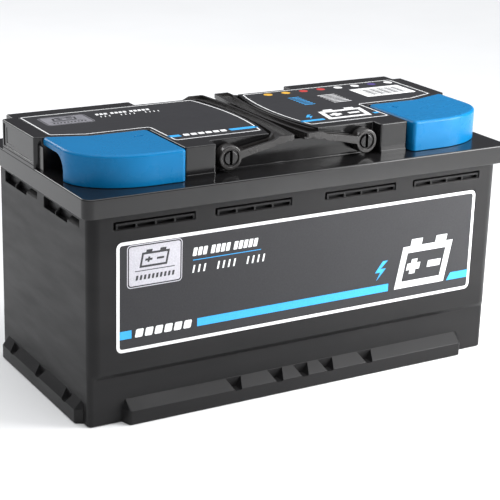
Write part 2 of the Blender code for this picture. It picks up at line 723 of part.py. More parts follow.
def cover_outline(inset, steps=8):
    """The right cover seen from above, with a wide elliptical sweep at its outer front corner."""
    reach_x = COVER_OUTER_X - COVER_SWEEP_X - inset
    reach_y = COVER_SWEEP_Y - COVER_FRONT_Y - inset
    sweep = []
    for i in range(steps + 1):
        angle = math.pi / 2 * i / steps
        sweep.append((COVER_SWEEP_X + reach_x * math.sin(angle), COVER_SWEEP_Y - reach_y * math.cos(angle)))
    back = [(COVER_OUTER_X - inset, COVER_BACK_OUTER_Y - inset),
            (RECESS_BEND_X, COVER_BACK_Y - inset),
            (COVER_INNER_X + COVER_CHAMFER, COVER_BACK_Y - inset),
            (COVER_INNER_X + inset, COVER_BACK_Y - COVER_CHAMFER - inset),
            (COVER_INNER_X + inset, COVER_FRONT_Y + inset)]
    return sweep + back


def cable_exit_outline(bottom, steps=8):
    """The cable exit seen from the end, with a large radius at its upper front corner."""
    outline = [(COVER_SWEEP_Y, bottom), (CABLE_EXIT_REAR_Y, bottom), (CABLE_EXIT_REAR_Y, CABLE_EXIT_TOP)]
    for i in range(steps + 1):
        angle = math.pi / 2 * (1 + i / steps)
        outline.append((COVER_SWEEP_Y + CABLE_EXIT_RADIUS * (1 + math.cos(angle)),
                        CABLE_EXIT_TOP - CABLE_EXIT_RADIUS * (1 - math.sin(angle))))
    return outline


def build_cover(side):
    name = f"terminal_cover_{side_name(side)}"
    bottom = FLANGE + GAP
    cover = prism(name, [mirrored(cover_outline(0), side)], bottom, COVER_TOP, "Z", "cover_blue")
    cut(cover, prism(f"{name}_inside", [mirrored(cover_outline(COVER_WALL), side)], bottom - 5 * MM,
                     COVER_TOP - COVER_WALL, "Z"))
    low, high = sorted((side * (COVER_OUTER_X - 3 * MM), side * (COVER_OUTER_X + 5 * MM)))
    cut(cover, prism(f"{name}_cable_exit", [cable_exit_outline(bottom - 4 * MM)], low, high, "X"))
    low, high = side_box(side, (OPEN_BACK_X[0], COVER_BACK_Y - 1 * MM, bottom - 6 * MM),
                         (OPEN_BACK_X[1], 0, OPEN_BACK_TOP))
    cut(cover, box(f"{name}_open_back", low, high))
    return cover


def build_terminal(name, side, base):
    """Tapered hollow post on a flange that sits in the lid's terminal hole."""
    seat = FLANGE + GAP
    shoulder = seat + POST_FLANGE_THICK
    root = FLANGE - POST_ROOT
    top = shoulder + POST_HEIGHT
    tip = base - POST_HEIGHT * POST_TAPER / 2
    edge = BUSHING_RADIUS + POST_FLANGE_EDGE
    profile = [(POST_BORE, top), (tip, top), (base, shoulder), (edge, shoulder), (edge, seat),
               (BUSHING_RADIUS - GAP, seat), (BUSHING_RADIUS - GAP, root), (POST_BORE, root)]
    return turned(name, profile, (side * TERMINAL_X, TERMINAL_Y, 0), "lead", closed=True, steps=28)


def build_riser(name, side):
    """Pillar from the end cell's cast strap up into the hollow post."""
    low = STRAP_TOP + GAP
    high = FLANGE + POST_HEIGHT
    centre = (side * TERMINAL_X, TERMINAL_Y, (low + high) / 2)
    return cylinder(name, centre, RISER_RADIUS, high - low, "Z", "lead", sides=20)


# ---------------------------------------------------------------- cells

STACK_PITCH = POSITIVE_THICK + NEGATIVE_THICK + 2 * PLATE_SPACE


def plate_outline(lug_y):
    """One plate seen along X, with its lug rising into the cast strap."""
    near, far = lug_y - LUG_WIDTH / 2, lug_y + LUG_WIDTH / 2
    return [(-PLATE_Y, PLATE_BOTTOM), (PLATE_Y, PLATE_BOTTOM), (PLATE_Y, PLATE_TOP),
            (far, PLATE_TOP), (far, STRAP_BOTTOM + 2 * MM), (near, STRAP_BOTTOM + 2 * MM),
            (near, PLATE_TOP), (-PLATE_Y, PLATE_TOP)]


def strap_outline(ear_side):
    """Cast strap seen along Y, with an upright ear towards the next cell if there is one."""
    if ear_side == 0:
        return [(-STRAP_HALF, STRAP_BOTTOM), (STRAP_HALF, STRAP_BOTTOM), (STRAP_HALF, STRAP_TOP),
                (-STRAP_HALF, STRAP_TOP)]
    ear = STRAP_HALF - EAR_THICK
    outline = [(-STRAP_HALF, STRAP_BOTTOM), (STRAP_HALF, STRAP_BOTTOM), (STRAP_HALF, EAR_TOP),
               (ear, EAR_TOP), (ear, STRAP_TOP), (-STRAP_HALF, STRAP_TOP)]
    return mirrored(outline, ear_side)


def build_plate_group(polarity, number, count, thickness, lug_side, ear_side):
    name = f"{polarity}_plates_cell_{number}"
    lug_y = lug_side * LUG_Y
    group = prism(name, [strap_outline(ear_side)], lug_y - STRAP_WIDTH / 2, lug_y + STRAP_WIDTH / 2,
                  "Y", f"{polarity}_plate")
    first = -(count - 1) / 2 * STACK_PITCH
    stack = prism(f"{name}_stack", [plate_outline(lug_y)], first - thickness / 2,
                  first + thickness / 2, "X")
    array = stack.modifiers.new("Plates", "ARRAY")
    array.count = count
    array.use_relative_offset = False
    array.use_constant_offset = True
    array.constant_offset_displace = (STACK_PITCH, 0, 0)
    group.location.x = cell_centre(number)
    stack.location.x = cell_centre(number)
    join(group, stack)
    return group


def ribbon(points, half):
    """Outline of a strip of even width that follows square-cornered points."""
    path = [Vector(point) for point in points]
    left, right = [], []
    for i, point in enumerate(path):
        offset = Vector((0, 0))
        for before, after in zip(path[max(i - 1, 0):i + 1], path[max(i, 1):i + 2]):
            offset += (after - before).normalized().orthogonal() * half
        left.append(tuple(point + offset))
        right.append(tuple(point - offset))
    return left + right[::-1]


def mat_outline():
    """Glass mat folded to and fro between the plates of a cell, seen from above."""
    sheets = []
    for i in range(POSITIVE_COUNT):
        middle = (i - (POSITIVE_COUNT - 1) / 2) * STACK_PITCH
        offset = (POSITIVE_THICK + PLATE_SPACE) / 2
        sheets += [middle - offset, middle + offset]
    edge = PLATE_Y + GAP + MAT_THICK / 2
    points = []
    for i, x in enumerate(sheets):
        direction = 1 if i % 2 == 0 else -1
        points += [(x, -direction * edge), (x, direction * edge)]
    return ribbon(points, MAT_THICK / 2)


def build_mat(number):
    mat = prism(f"glass_mat_cell_{number}", [mat_outline()], PLATE_BOTTOM, PLATE_TOP + 3 * MM, "Z",
                "glass_mat")
    mat.location.x = cell_centre(number)
    return mat


def connector_y(number):
    """Cells are joined at the rear and the front in turn."""
    return LUG_Y if number % 2 == 1 else -LUG_Y


def build_connector(number):
    middle = cell_centre(number) + CELL_PITCH / 2
    length = CELL_PITCH - 2 * STRAP_HALF - 2 * GAP
    return cylinder(f"cell_connector_{number}", (middle, connector_y(number), CONNECTOR_Z),
                    CONNECTOR_RADIUS, length, "X", "lead", sides=20)


# ---------------------------------------------------------------- valves and labels

def build_inner_lid():
    """Plate welded over the cells, with a vent nozzle for each and room for the risers."""
    half_x, half_y = CASE_X - END_WALL - GAP, CELL_Y - GAP
    plate = box("inner_lid", (-half_x, -half_y, INNER_LID_BOTTOM), (half_x, half_y, INNER_LID_TOP),
                "inner_plastic")
    for number in range(1, CELLS + 1):
        x = cell_centre(number)
        low = INNER_LID_BOTTOM + 1 * MM
        join(plate, cylinder(f"nozzle_{number}", (x, VALVE_Y, (low + NOZZLE_TOP) / 2), NOZZLE_RADIUS,
                             NOZZLE_TOP - low, "Z", sides=20))
    for number in range(1, CELLS + 1):
        cut(plate, cylinder(f"nozzle_bore_{number}", (cell_centre(number), VALVE_Y, NOZZLE_TOP),
                            NOZZLE_BORE, 30 * MM, "Z", sides=16))
    for side in (LEFT, RIGHT):
        cut(plate, cylinder(f"riser_hole_{side_name(side)}",
                            (side * TERMINAL_X, TERMINAL_Y, INNER_LID_TOP), RISER_RADIUS + 1 * MM,
                            10 * MM, "Z", sides=20))
    return plate


def build_valve_cap(number):
    bore = NOZZLE_RADIUS + GAP
    roof = NOZZLE_TOP + GAP
    profile = [(0, VALVE_CAP_TOP), (VALVE_CAP_RADIUS, VALVE_CAP_TOP),
               (VALVE_CAP_RADIUS, VALVE_CAP_BOTTOM), (bore, VALVE_CAP_BOTTOM), (bore, roof), (0, roof)]
    return turned(f"valve_cap_{number}", profile, (cell_centre(number), VALVE_Y, 0), "valve_rubber",
                  steps=20)


def build_arrestor():
    face = PLATFORM_X - LID_WALL - GAP
    return cylinder("flame_arrestor", (face - ARRESTOR_THICK / 2, VALVE_Y, GAS_OUTLET_Z),
                    ARRESTOR_RADIUS, ARRESTOR_THICK, "X", "arrestor_frit", sides=24)


def build_front_label():
    outline = rounded_rectangle(FRONT_LABEL_X, FRONT_LABEL_HALF_HEIGHT, FRONT_LABEL_CORNER)
    return prism("label_front", [[(x, z + FRONT_LABEL_Z) for x, z in outline]],
                 -CASE_Y, -CASE_Y + LABEL_THICK, "Y", "label_film")


def build_top_label(side):
    outline = mirrored(top_label_outline(TOP_LABEL_MARGIN), side)
    return prism(f"label_top_{side_name(side)}", [outline], LID_TOP - LABEL_THICK, LID_TOP, "Z",
                 "label_film")


# ---------------------------------------------------------------- assembly

def main():
    build_case()
    build_lid()
    build_inner_lid()
    for side in (LEFT, RIGHT):
        smooth(build_handle(side))
        smooth(build_cover(side))
        for end in (FRONT, REAR):
            smooth(build_pivot_pin(side, end))
        build_top_label(side)
    build_front_label()

    smooth(build_terminal("terminal_negative", LEFT, NEGATIVE_BASE))
    smooth(build_terminal("terminal_positive", RIGHT, POSITIVE_BASE))
    smooth(build_riser("riser_negative", LEFT))
    smooth(build_riser("riser_positive", RIGHT))

    for number in range(1, CELLS + 1):
        lug_side = REAR if number % 2 == 1 else FRONT
        build_plate_group("positive", number, POSITIVE_COUNT, POSITIVE_THICK, lug_side,
                          0 if number == CELLS else RIGHT)
        build_plate_group("negative", number, NEGATIVE_COUNT, NEGATIVE_THICK, -lug_side,
                          0 if number == 1 else LEFT)
        build_mat(number)
        smooth(build_valve_cap(number))
    for number in range(1, CELLS):
        smooth(build_connector(number))
    smooth(build_arrestor())


main()
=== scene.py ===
"""Looks of the leisure battery: fine mouldings, printed labels, materials, light and camera.

Everything is in metres in the CAD frame: X runs along the case, the label faces -Y, Z is up.
"""
import json
import math

import bmesh
import bpy
from mathutils import Matrix, Vector


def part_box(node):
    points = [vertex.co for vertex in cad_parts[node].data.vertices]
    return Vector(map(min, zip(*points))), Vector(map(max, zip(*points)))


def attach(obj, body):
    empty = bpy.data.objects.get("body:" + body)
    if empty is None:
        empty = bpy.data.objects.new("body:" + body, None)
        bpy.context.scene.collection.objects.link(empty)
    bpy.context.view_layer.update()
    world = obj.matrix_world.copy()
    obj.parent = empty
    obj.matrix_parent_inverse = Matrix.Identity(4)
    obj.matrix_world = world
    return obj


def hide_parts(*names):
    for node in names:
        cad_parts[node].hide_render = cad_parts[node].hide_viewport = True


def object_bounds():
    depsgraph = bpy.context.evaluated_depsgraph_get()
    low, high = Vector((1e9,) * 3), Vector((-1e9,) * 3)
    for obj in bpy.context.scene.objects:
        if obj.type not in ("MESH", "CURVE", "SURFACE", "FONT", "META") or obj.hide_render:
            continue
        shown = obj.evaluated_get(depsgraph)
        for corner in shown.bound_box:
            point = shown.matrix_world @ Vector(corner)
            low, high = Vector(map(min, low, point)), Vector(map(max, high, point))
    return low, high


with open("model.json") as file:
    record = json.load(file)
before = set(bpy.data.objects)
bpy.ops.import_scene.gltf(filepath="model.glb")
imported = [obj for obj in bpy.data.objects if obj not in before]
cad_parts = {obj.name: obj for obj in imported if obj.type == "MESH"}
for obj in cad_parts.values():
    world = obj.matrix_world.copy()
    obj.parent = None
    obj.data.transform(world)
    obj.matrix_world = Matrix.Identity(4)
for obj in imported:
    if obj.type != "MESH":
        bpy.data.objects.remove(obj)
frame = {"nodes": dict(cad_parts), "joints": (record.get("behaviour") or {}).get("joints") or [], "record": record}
CAD_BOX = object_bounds()

MM = 0.001


def mm(*values):
    """Lengths given in millimetres: one number, or a tuple of them."""
    lengths = tuple(value * MM for value in values)
    return lengths if len(lengths) > 1 else lengths[0]


LEFT, RIGHT = -1, 1
FRONT, REAR = -1, 1
SIDE_NAMES = {LEFT: "left", RIGHT: "right"}
END_NAMES = {FRONT: "front", REAR: "rear"}
TERMINAL_NAMES = {LEFT: "terminal_negative", RIGHT: "terminal_positive"}

# Sizes read from the frame
CASE_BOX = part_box("case")
LID_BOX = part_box("lid")
COVER_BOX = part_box("terminal_cover_right")
HANDLE_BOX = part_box("handle_right")
PIN_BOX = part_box("pivot_pin_rear_right")
POST_BOXES = {LEFT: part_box("terminal_negative"), RIGHT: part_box("terminal_positive")}
FRONT_LABEL_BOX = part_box("label_front")
TOP_LABEL_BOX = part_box("label_top_right")
PIVOTS = {joint["child"]: Vector(joint["pos_m"]) for joint in frame["joints"] if "pos_m" in joint}
PIVOT = PIVOTS["handle_right"]
HALF_LENGTH = CAD_BOX[1].x
HALF_WIDTH = CAD_BOX[1].y
CLEARANCE = mm(0.3)
PAST = mm(2)                        # how far a cutter reaches past the surface it cuts

# Case moulding
CASE_X, CASE_Y, FOOT_Y = mm(171, 82, 79)
STEP_LOW, STEP_HIGH = mm(33.6, 39.4)
FOOT_CORNER, CASE_CORNER, FOOT_EDGE = mm(4, 8, 1.2)
CASE_TOP = CASE_BOX[1].z
FLOOR, END_WALL, PARTITION = mm(3.5, 3.5, 2.2)
INSIDE_Y, PARTITION_TOP = mm(75.5, 159.5)
CELLS = 6
CELL_PITCH = (2 * (CASE_X - END_WALL) + PARTITION) / CELLS
LEDGE_FACE, LEDGE_FLARE, LEDGE_ROOT = mm(10.5, 3, 12)
LEDGE_TOE, LEDGE_BROW, LEDGE_CORNER, LEDGE_EDGE = mm(1, 0.7, 2, 0.45)
LONG_LEDGE_X, LONG_LEDGE_TOP = mm(143, 17.7)
END_LEDGE_Y, END_LEDGE_TOP = mm(67, 18)
NOTCH_FLOOR, NOTCH_TOP = mm(9.6, 20)
NOTCH_HALF_FLOOR, NOTCH_HALF_TOP, NOTCH_CORNER = mm(2.5, 8, 1.2)
LONG_NOTCHES = mm(-57, -22, 0, 22, 57)
END_NOTCHES = mm(-48, 0, 48)
LABEL_DEPTH = mm(0.6)
FRONT_LABEL_SPACE = mm(-152, 52.5, 152, 133.5, 4)      # x, z, x, z and corner radius

# Grip pockets: four windows under the skirt's long sides, three cells at its ends
GRIP_LOW, GRIP_HIGH, GRIP_RIDGE = mm(141.8, 147.8, 146)
GRIP_RIB, GRIP_LIP, GRIP_SLOT = mm(1.4, 1, 3.6)
GRIP_LENGTH, GRIP_DEPTH, GRIP_CORNER = mm(62, 4.6, 0.8)
GRIP_STARTS = mm(14, 91.5)
GRIP_WINDOWS = 4
END_GRIP_FLOOR, END_GRIP_LOW = mm(166.9, 139.8)
END_GRIP_REARS = mm(67, -5)
END_GRIP_CELLS = 3
END_GRIP_RIB = mm(0.7)                                 # half a rib
RAMP_LOW, RAMP_END_Z, RAMP_END, RAMP_TIP = mm(138.9, 143.4, 3.5, 1)
RIB_SLOPE_OUTSIDE, RIB_SLOPE_INSIDE = mm(140.2, 144.6)
GRIP_BACK_Y, GRIP_BACK_LOW, GRIP_BACK_HIGH, GRIP_BACK = mm(68, 138, 149.5, 0.7)

# Lid moulding
FLANGE, FLANGE_CORNER, LID_ROOF, LID_WALL = mm(167, 7, 3.7, 3)
LID_TOP = LID_BOX[1].z
PLATFORM_X = HALF_LENGTH - mm(0.2)
PLATFORM_REAR_X, PLATFORM_Y, SHOULDER_Y = mm(168.5, 69, 57)
RECESS_X, RECESS_INNER_Y, RECESS_OUTER_Y, RECESS_BEND_X = mm(93, -12.3, -2, 139)
POCKET_X, POCKET_Y = mm(69, 58.5)
POCKET_FOOT, POCKET_FOOT_HIGH, POCKET_FOOT_INSET = mm(1.3, 1, 8)
PLINTH_HIGH, PLINTH_DEEP, PLINTH_OUT, PLINTH_INSET = mm(2.6, 6, 0.5, 0.2)
FIN_X, FIN_FRONT_Y, FIN_TOP = mm(172.5, 173.7), mm(-12.2), mm(184.5)
TROUGH_FLOOR, TROUGH_MIDDLE, TROUGH_END = mm(183, 12.6, 20.8)
LABEL_FLOOR = LID_TOP - LABEL_DEPTH
TOP_LABEL_Y = mm(-50, 56.5)
TOP_LABEL_OUTER = mm(165, -1.5)                        # corner nearest to the cable exit
TOP_LABEL_STEP_Y, TOP_LABEL_BEND = mm(-9.5, 1)
TOP_LABEL_TROUGH_EDGE, TOP_LABEL_RECESS_EDGE = mm(1.6, 1.4)
# Recesses in the platform's right end as y, z, y, z and corner radius, and their depths
END_PANEL = mm(1.4, 171, 54, 187.4, 1)
END_FIELD = mm(36, 173.5, 50, 185, 1)
END_SEAM = mm(-1.5, 169, 56.5, 169.5, 0)
PANEL_DEPTH, FIELD_DEPTH, SEAM_DEPTH = mm(0.7, 1, 0.5)
BUSHING_RADIUS = mm(13)
GAS_OUTLET = mm(28, 178, 2.5)                          # y, z and radius

# Handles
EYE_RADIUS, EYE_HOLE, EYE_RIM, EYE_STEP = mm(9, 5.5, 0.9, 1.2)
ARM_OUTSIDE = HANDLE_BOX[1].y
ARM_INSIDE, ARM_JOIN_X, ARM_SWEEP = mm(60.2, 52, 10)
BAR_BOTTOM = mm(184.2)
BAR_TOP = HANDLE_BOX[1].z
BAR_INNER, BAR_OUTER = mm(0.9, 5.2), mm(10.9, 19)      # halfway along, and at the ends
BAR_STRAIGHT, BAR_CORNER, BAR_EDGE = mm(38, 1.6, 0.6)
CHANNEL_RIM, CHANNEL_DEPTH, CHANNEL_END_X = mm(2.2, 2.2, 45.5)
HOLLOW_RIM, HOLLOW_DEPTH = mm(2.6, 1.2)
TIP_DEPTH = mm(3)
# Lines along the right handle seen from the front, as x, z and corner radius
ARM_TOP_LINE = [mm(-5, 189.2, 0), mm(17.5, 189.2, 2.5), mm(22.5, 186.8, 8), mm(34, 184.9, 20),
                mm(70, 178.6, 0)]
ARM_BOTTOM_LINE = [mm(70, 171.2, 0), mm(33.5, 180.4, 10), mm(22, 182.2, 2), mm(20, 183.8, 0.6),
                   mm(-5, 184.2, 0)]
ARM_TIP_LINE = [mm(-5, 175), mm(13.5, 175), mm(13.5, 184.1), mm(10, 185.9), mm(-5, 186.3)]
ABOVE_HANDLE, BELOW_HANDLE = [mm(70, 200), mm(-5, 200)], [mm(-5, 160), mm(70, 160)]
HANDLE_LOW = mm(170)
PIN_CHAMFER, PIN_SLOT, PIN_ROOT = mm(0.8, 1.2, 2)

# Terminals and their covers
POST_BASES = {LEFT: mm(8.95), RIGHT: mm(9.75)}
POST_TAPER, POST_BORE, POST_SHOULDER, POST_EDGE = mm(1, 5.5, 1.8, 0.5)
COVER_WALL, COVER_BACK_Y, COVER_EDGE = mm(2, -13.5, 2.2)
COVER_SWEEP = Vector(mm(121, -40))
COVER_BACK_BEND, COVER_BACK_CORNER, COVER_CORNER = mm(25, 4, 3)
CABLE_EXIT_TOP, CABLE_EXIT_RADIUS, CABLE_EXIT_REAR_Y = mm(185, 13, -1.5)
OPEN_BACK_START = mm(4)                                # from the bend in the recess's back wall
MARK_X, MARK_Y, MARK_HALF, MARK_ARM, MARK_DEPTH = mm(109, -29, 4, 0.7, 0.5)

# Labels
INK = mm(0.04)                      # thickness of a printed area
OUTLINE_INK = mm(2.4)               # width of the white line round the front label
LEAN = 0.2                          # how far printed marks lean for each unit of height


# ---------------------------------------------------------------- outlines

def rounded(points, radius, steps=5):
    """The outline with its corners turned into arcs. A third number in a point is its own radius."""
    flat = [Vector(point[:2]) for point in points]
    result = []
    for i, here in enumerate(flat):
        size = points[i][2] if len(points[i]) > 2 else radius
        before = flat[i - 1] - here
        after = flat[(i + 1) % len(flat)] - here
        half = before.angle(after) / 2
        if size == 0 or half > math.radians(89):
            result.append(here)
            continue
        reach = min(size / math.tan(half), 0.48 * before.length, 0.48 * after.length)
        start, end = here + before.normalized() * reach, here + after.normalized() * reach
        centre = here + (before.normalized() + after.normalized()).normalized() * (reach / math.cos(half))
        first = math.atan2(start.y - centre.y, start.x - centre.x)
        turn = math.atan2(end.y - centre.y, end.x - centre.x) - first
        turn = (turn + math.pi) % (2 * math.pi) - math.pi
        arc_radius = (start - centre).length
        for step in range(steps + 1):
            angle = first + turn * step / steps
            result.append(centre + arc_radius * Vector((math.cos(angle), math.sin(angle))))
    return result


def offset(outline, distance):
    """The outline, drawn anticlockwise, moved outwards by an even distance."""
    result = []
    for i, here in enumerate(outline):
        inward = here - outline[i - 1]
        onward = outline[(i + 1) % len(outline)] - here
        first = Vector((inward.y, -inward.x)).normalized()
        second = Vector((onward.y, -onward.x)).normalized()
        result.append(here + (first + second) * (distance / max(1 + first.dot(second), 0.2)))
    return result


def rectangle(x0, y0, x1, y1, radius=0.0, steps=5):
    return rounded([(x0, y0), (x1, y0), (x1, y1), (x0, y1)], radius, steps)


def circle(x, y, radius, steps=48):
    angles = [2 * math.pi * step / steps for step in range(steps)]
    return [Vector((x + radius * math.cos(angle), y + radius * math.sin(angle))) for angle in angles]


def flipped(outline, side):
    """An outline drawn for the right side, mirrored for the left."""
    if side == RIGHT:
        return outline
    return [Vector((-point[0], point[1])) for point in reversed(outline)]


def mirrored(half):
    """Corners on the right, followed by their mirror images on the left."""
    return half + [(-x, y, *radius) for x, y, *radius in reversed(half)]


def slanted(outline, slope=LEAN):
    """The outline leaning to the right, as printed marks on the labels do."""
    low = min(point.y for point in outline)
    return [Vector((point.x + (point.y - low) * slope, point.y)) for point in outline]


# ---------------------------------------------------------------- solids

# Each face of the battery maps an outline's u and v, and the height above it, to the world
TOP = Matrix.Identity(4)
FACES = {
    FRONT: Matrix(((1, 0, 0, 0), (0, 0, -1, 0), (0, 1, 0, 0), (0, 0, 0, 1))),
    REAR: Matrix(((-1, 0, 0, 0), (0, 0, 1, 0), (0, 1, 0, 0), (0, 0, 0, 1))),
}
ENDS = {
    LEFT: Matrix(((0, 0, -1, 0), (-1, 0, 0, 0), (0, 1, 0, 0), (0, 0, 0, 1))),
    RIGHT: Matrix(((0, 0, 1, 0), (1, 0, 0, 0), (0, 1, 0, 0), (0, 0, 0, 1))),
}


def placed(name, data):
    obj = bpy.data.objects.new(name, data)
    bpy.context.scene.collection.objects.link(obj)
    return obj


def object_from(bm, name):
    mesh = bpy.data.meshes.new(name)
    bm.to_mesh(mesh)
    bm.free()
    return placed(name, mesh)


def tube(bm, layers, face, closed=False):
    """Walls through outlines of equal length; closed joins the last outline to the first."""
    rings = [[bm.verts.new(face @ Vector((u, v, height))) for u, v in outline]
             for height, outline in layers]
    for ring, following in zip(rings, rings[1:] + rings[:closed]):
        for i in range(len(ring)):
            j = (i + 1) % len(ring)
            bm.faces.new((ring[i], ring[j], following[j], following[i]))
    return rings


def skin(name, layers, face=TOP):
    """A closed solid through outlines of equal length, given as (height, outline) from low to high."""
    bm = bmesh.new()
    rings = tube(bm, layers, face)
    bm.faces.new(rings[0][::-1])
    bm.faces.new(rings[-1])
    return object_from(bm, name)


def solid(name, outline, profile, face=TOP):
    """A closed solid whose profile lists (height, outward offset) from low to high."""
    return skin(name, [(height, offset(outline, out)) for height, out in profile], face)


def prism(name, outline, low, high, face=TOP):
    """A closed solid with straight walls."""
    return solid(name, outline, [(low, 0), (high, 0)], face)


def quarter_turn(steps):
    return [math.pi / 2 * step / steps for step in range(steps + 1)]


def soft_foot(low, radius, steps=4):
    """Profile of a rounded lower edge."""
    return [(low + radius * (1 - math.cos(a)), radius * (math.sin(a) - 1)) for a in quarter_turn(steps)]


def soft_top(high, radius, steps=4):
    """Profile of a rounded upper edge."""
    return [(high - radius * (1 - math.sin(a)), radius * (math.cos(a) - 1)) for a in quarter_turn(steps)]


def pocket(floor, surface, floor_radius, rim_radius, steps=4):
    """Profile of a cutter whose pocket has a rounded floor corner and a rounded rim."""
    rim = [(height, -out) for height, out in soft_top(surface, rim_radius, steps)]
    return soft_foot(floor, floor_radius, steps) + rim + [(surface + mm(4), rim_radius)]


def band(name, outline, width, low, high, face=TOP):
    """A flat closed line of even width just inside an outline."""
    inner = offset(outline, -width)
    bm = bmesh.new()
    tube(bm, [(low, outline), (high, outline), (high, inner), (low, inner)], face, closed=True)
    return object_from(bm, name)


def gathered(name, parts):
    """One object that holds several separate solids."""
    bm = bmesh.new()
    for part in parts:
        bm.from_mesh(part.data)
        bpy.data.objects.remove(part)
    return object_from(bm, name)


def settle(obj):
    """Replace the object's mesh with what its modifiers make of it."""
    depsgraph = bpy.context.evaluated_depsgraph_get()
    mesh = bpy.data.meshes.new_from_object(obj.evaluated_get(depsgraph))
    obj.modifiers.clear()
    obj.data = mesh


def combine(obj, operation, others):
    for other in others:
        modifier = obj.modifiers.new(other.name, "BOOLEAN")
        modifier.operation = operation
        modifier.solver = "EXACT"
        modifier.object = other
    settle(obj)
    for other in others:
        bpy.data.objects.remove(other)


def cut(obj, *cutters):
    combine(obj, "DIFFERENCE", cutters)


def join(obj, *others):
    combine(obj, "UNION", others)


def bevel(obj, width, angle=40, segments=2):
    modifier = obj.modifiers.new("Edges", "BEVEL")
    modifier.width = width
    modifier.segments = segments
    modifier.limit_method = "ANGLE"
    modifier.angle_limit = math.radians(angle)
    settle(obj)


def dress(obj, body, slot, replaced=(), material=None, angle=32):
    """Shade the piece, give it its own material or its slot's, and tie it to a CAD body."""
    obj.data.shade_smooth()
    obj.data.set_sharp_from_angle(angle=math.radians(angle))
    weighted = obj.modifiers.new("Normals", "WEIGHTED_NORMAL")
    weighted.keep_sharp = True
    obj.data.materials.clear()
    obj.data.materials.append(material or MATERIALS[slot])
    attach(obj, body)
    if replaced:
        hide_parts(*replaced)
    return obj


# ---------------------------------------------------------------- materials

def node_material(name):
    material = bpy.data.materials.new(name)
    material.use_nodes = True
    tree = material.node_tree
    return material, tree, tree.nodes["Principled BSDF"]


def wire(tree, node, inputs):
    """Set a node's inputs, each to a value or to the output that feeds it."""
    for name, value in inputs.items():
        if isinstance(value, bpy.types.NodeSocket):
            tree.links.new(value, node.inputs[name])
        else:
            node.inputs[name].default_value = value


def add_node(tree, kind, inputs):
    node = tree.nodes.new(f"ShaderNode{kind}")
    wire(tree, node, inputs)
    return node


def own_coordinates(tree):
    return tree.nodes.new("ShaderNodeTexCoord").outputs["Object"]


def noise(tree, scale, detail=3.0, stretch=(1, 1, 1)):
    """Noise over the piece's own coordinates; scale counts features per metre."""
    mapping = add_node(tree, "Mapping", {"Vector": own_coordinates(tree), "Scale": stretch})
    inputs = {"Vector": mapping.outputs["Vector"], "Scale": scale, "Detail": detail}
    return add_node(tree, "TexNoise", inputs).outputs["Fac"]


def spread(tree, value, low, high, start=0.3, end=0.7):
    """Map a noise value to a range."""
    inputs = {"Value": value, "From Min": start, "From Max": end, "To Min": low, "To Max": high}
    return add_node(tree, "MapRange", inputs).outputs["Result"]


def blend_colours(tree, value, first, second, start=0.3, end=0.7):
    node = add_node(tree, "ValToRGB", {"Fac": value})
    for element, position, colour in zip(node.color_ramp.elements, (start, end), (first, second)):
        element.position = position
        element.color = (*colour, 1)
    return node.outputs["Color"]


def bump(tree, heights, distance):
    """Bump from several (value, strength) pairs, one on top of the other."""
    below = {}
    for value, strength in heights:
        node = add_node(tree, "Bump", {"Height": value, "Strength": strength, "Distance": distance, **below})
        below = {"Normal": node.outputs["Normal"]}
    return below["Normal"]


def moulded(name, dark, light, roughness, grain, flow=(1, 1, 1), specular=0.5):
    """Injection-moulded plastic: fine spark-eroded grain, faint flow marks and handling haze."""
    material, tree, shader = node_material(name)
    tone, haze, waves = noise(tree, 14, 4, flow), noise(tree, 45, 5, flow), noise(tree, 28, 2, flow)
    wire(tree, shader, {
        "Base Color": blend_colours(tree, tone, dark, light),
        "Roughness": spread(tree, haze, *roughness),
        "Normal": bump(tree, [(waves, 0.025), (noise(tree, 2600, 2), grain)], mm(0.3)),
        "Specular IOR Level": specular,
    })
    return material


def printed(name, dark, light, roughness=(0.35, 0.50), metallic=0.0):
    """Ink on the label film, with the slight mottle of screen printing."""
    material, tree, shader = node_material(name)
    wire(tree, shader, {
        "Base Color": blend_colours(tree, noise(tree, 900, 3), dark, light),
        "Roughness": spread(tree, noise(tree, 60, 4), *roughness),
        "Normal": bump(tree, [(noise(tree, 1500, 2), 0.05)], mm(0.05)),
        "Metallic": metallic,
        "Specular IOR Level": 0.3,
    })
    return material


def cast_lead(name, dark, light, roughness):
    """Dull cast lead with oxide patches and a sandy casting skin."""
    material, tree, shader = node_material(name)
    patches = noise(tree, 120, 6)
    wire(tree, shader, {
        "Base Color": blend_colours(tree, patches, dark, light),
        "Roughness": spread(tree, noise(tree, 300, 4), *roughness),
        "Normal": bump(tree, [(patches, 0.15), (noise(tree, 1800, 3), 0.25)], mm(0.2)),
        "Metallic": 1,
    })
    return material


def pasted_plate(name, dark, light):
    """Active mass pasted into a grid: a coarse crossed relief under a rough, crumbly skin."""
    material, tree, shader = node_material(name)
    crumbs = noise(tree, 700, 6)
    heights = [(crumbs, 0.4)]
    for direction in ("Y", "Z"):
        bars = add_node(tree, "TexWave", {"Vector": own_coordinates(tree), "Scale": 45})
        bars.bands_direction = direction
        heights.append((bars.outputs["Fac"], 0.25))
    wire(tree, shader, {
        "Base Color": blend_colours(tree, crumbs, dark, light),
        "Roughness": spread(tree, crumbs, 0.7, 0.95),
        "Normal": bump(tree, heights, mm(0.4)),
    })
    return material


def glass_fleece(name):
    """White glass-fibre mat: short tangled fibres."""
    material, tree, shader = node_material(name)
    fibres = noise(tree, 900, 8, (1, 0.15, 3))
    wire(tree, shader, {
        "Base Color": blend_colours(tree, fibres, (0.72, 0.72, 0.69), (0.92, 0.92, 0.90)),
        "Roughness": spread(tree, fibres, 0.85, 1.0),
        "Normal": bump(tree, [(fibres, 0.6)], mm(0.3)),
        "Sheen Weight": 0.3,
    })
    return material


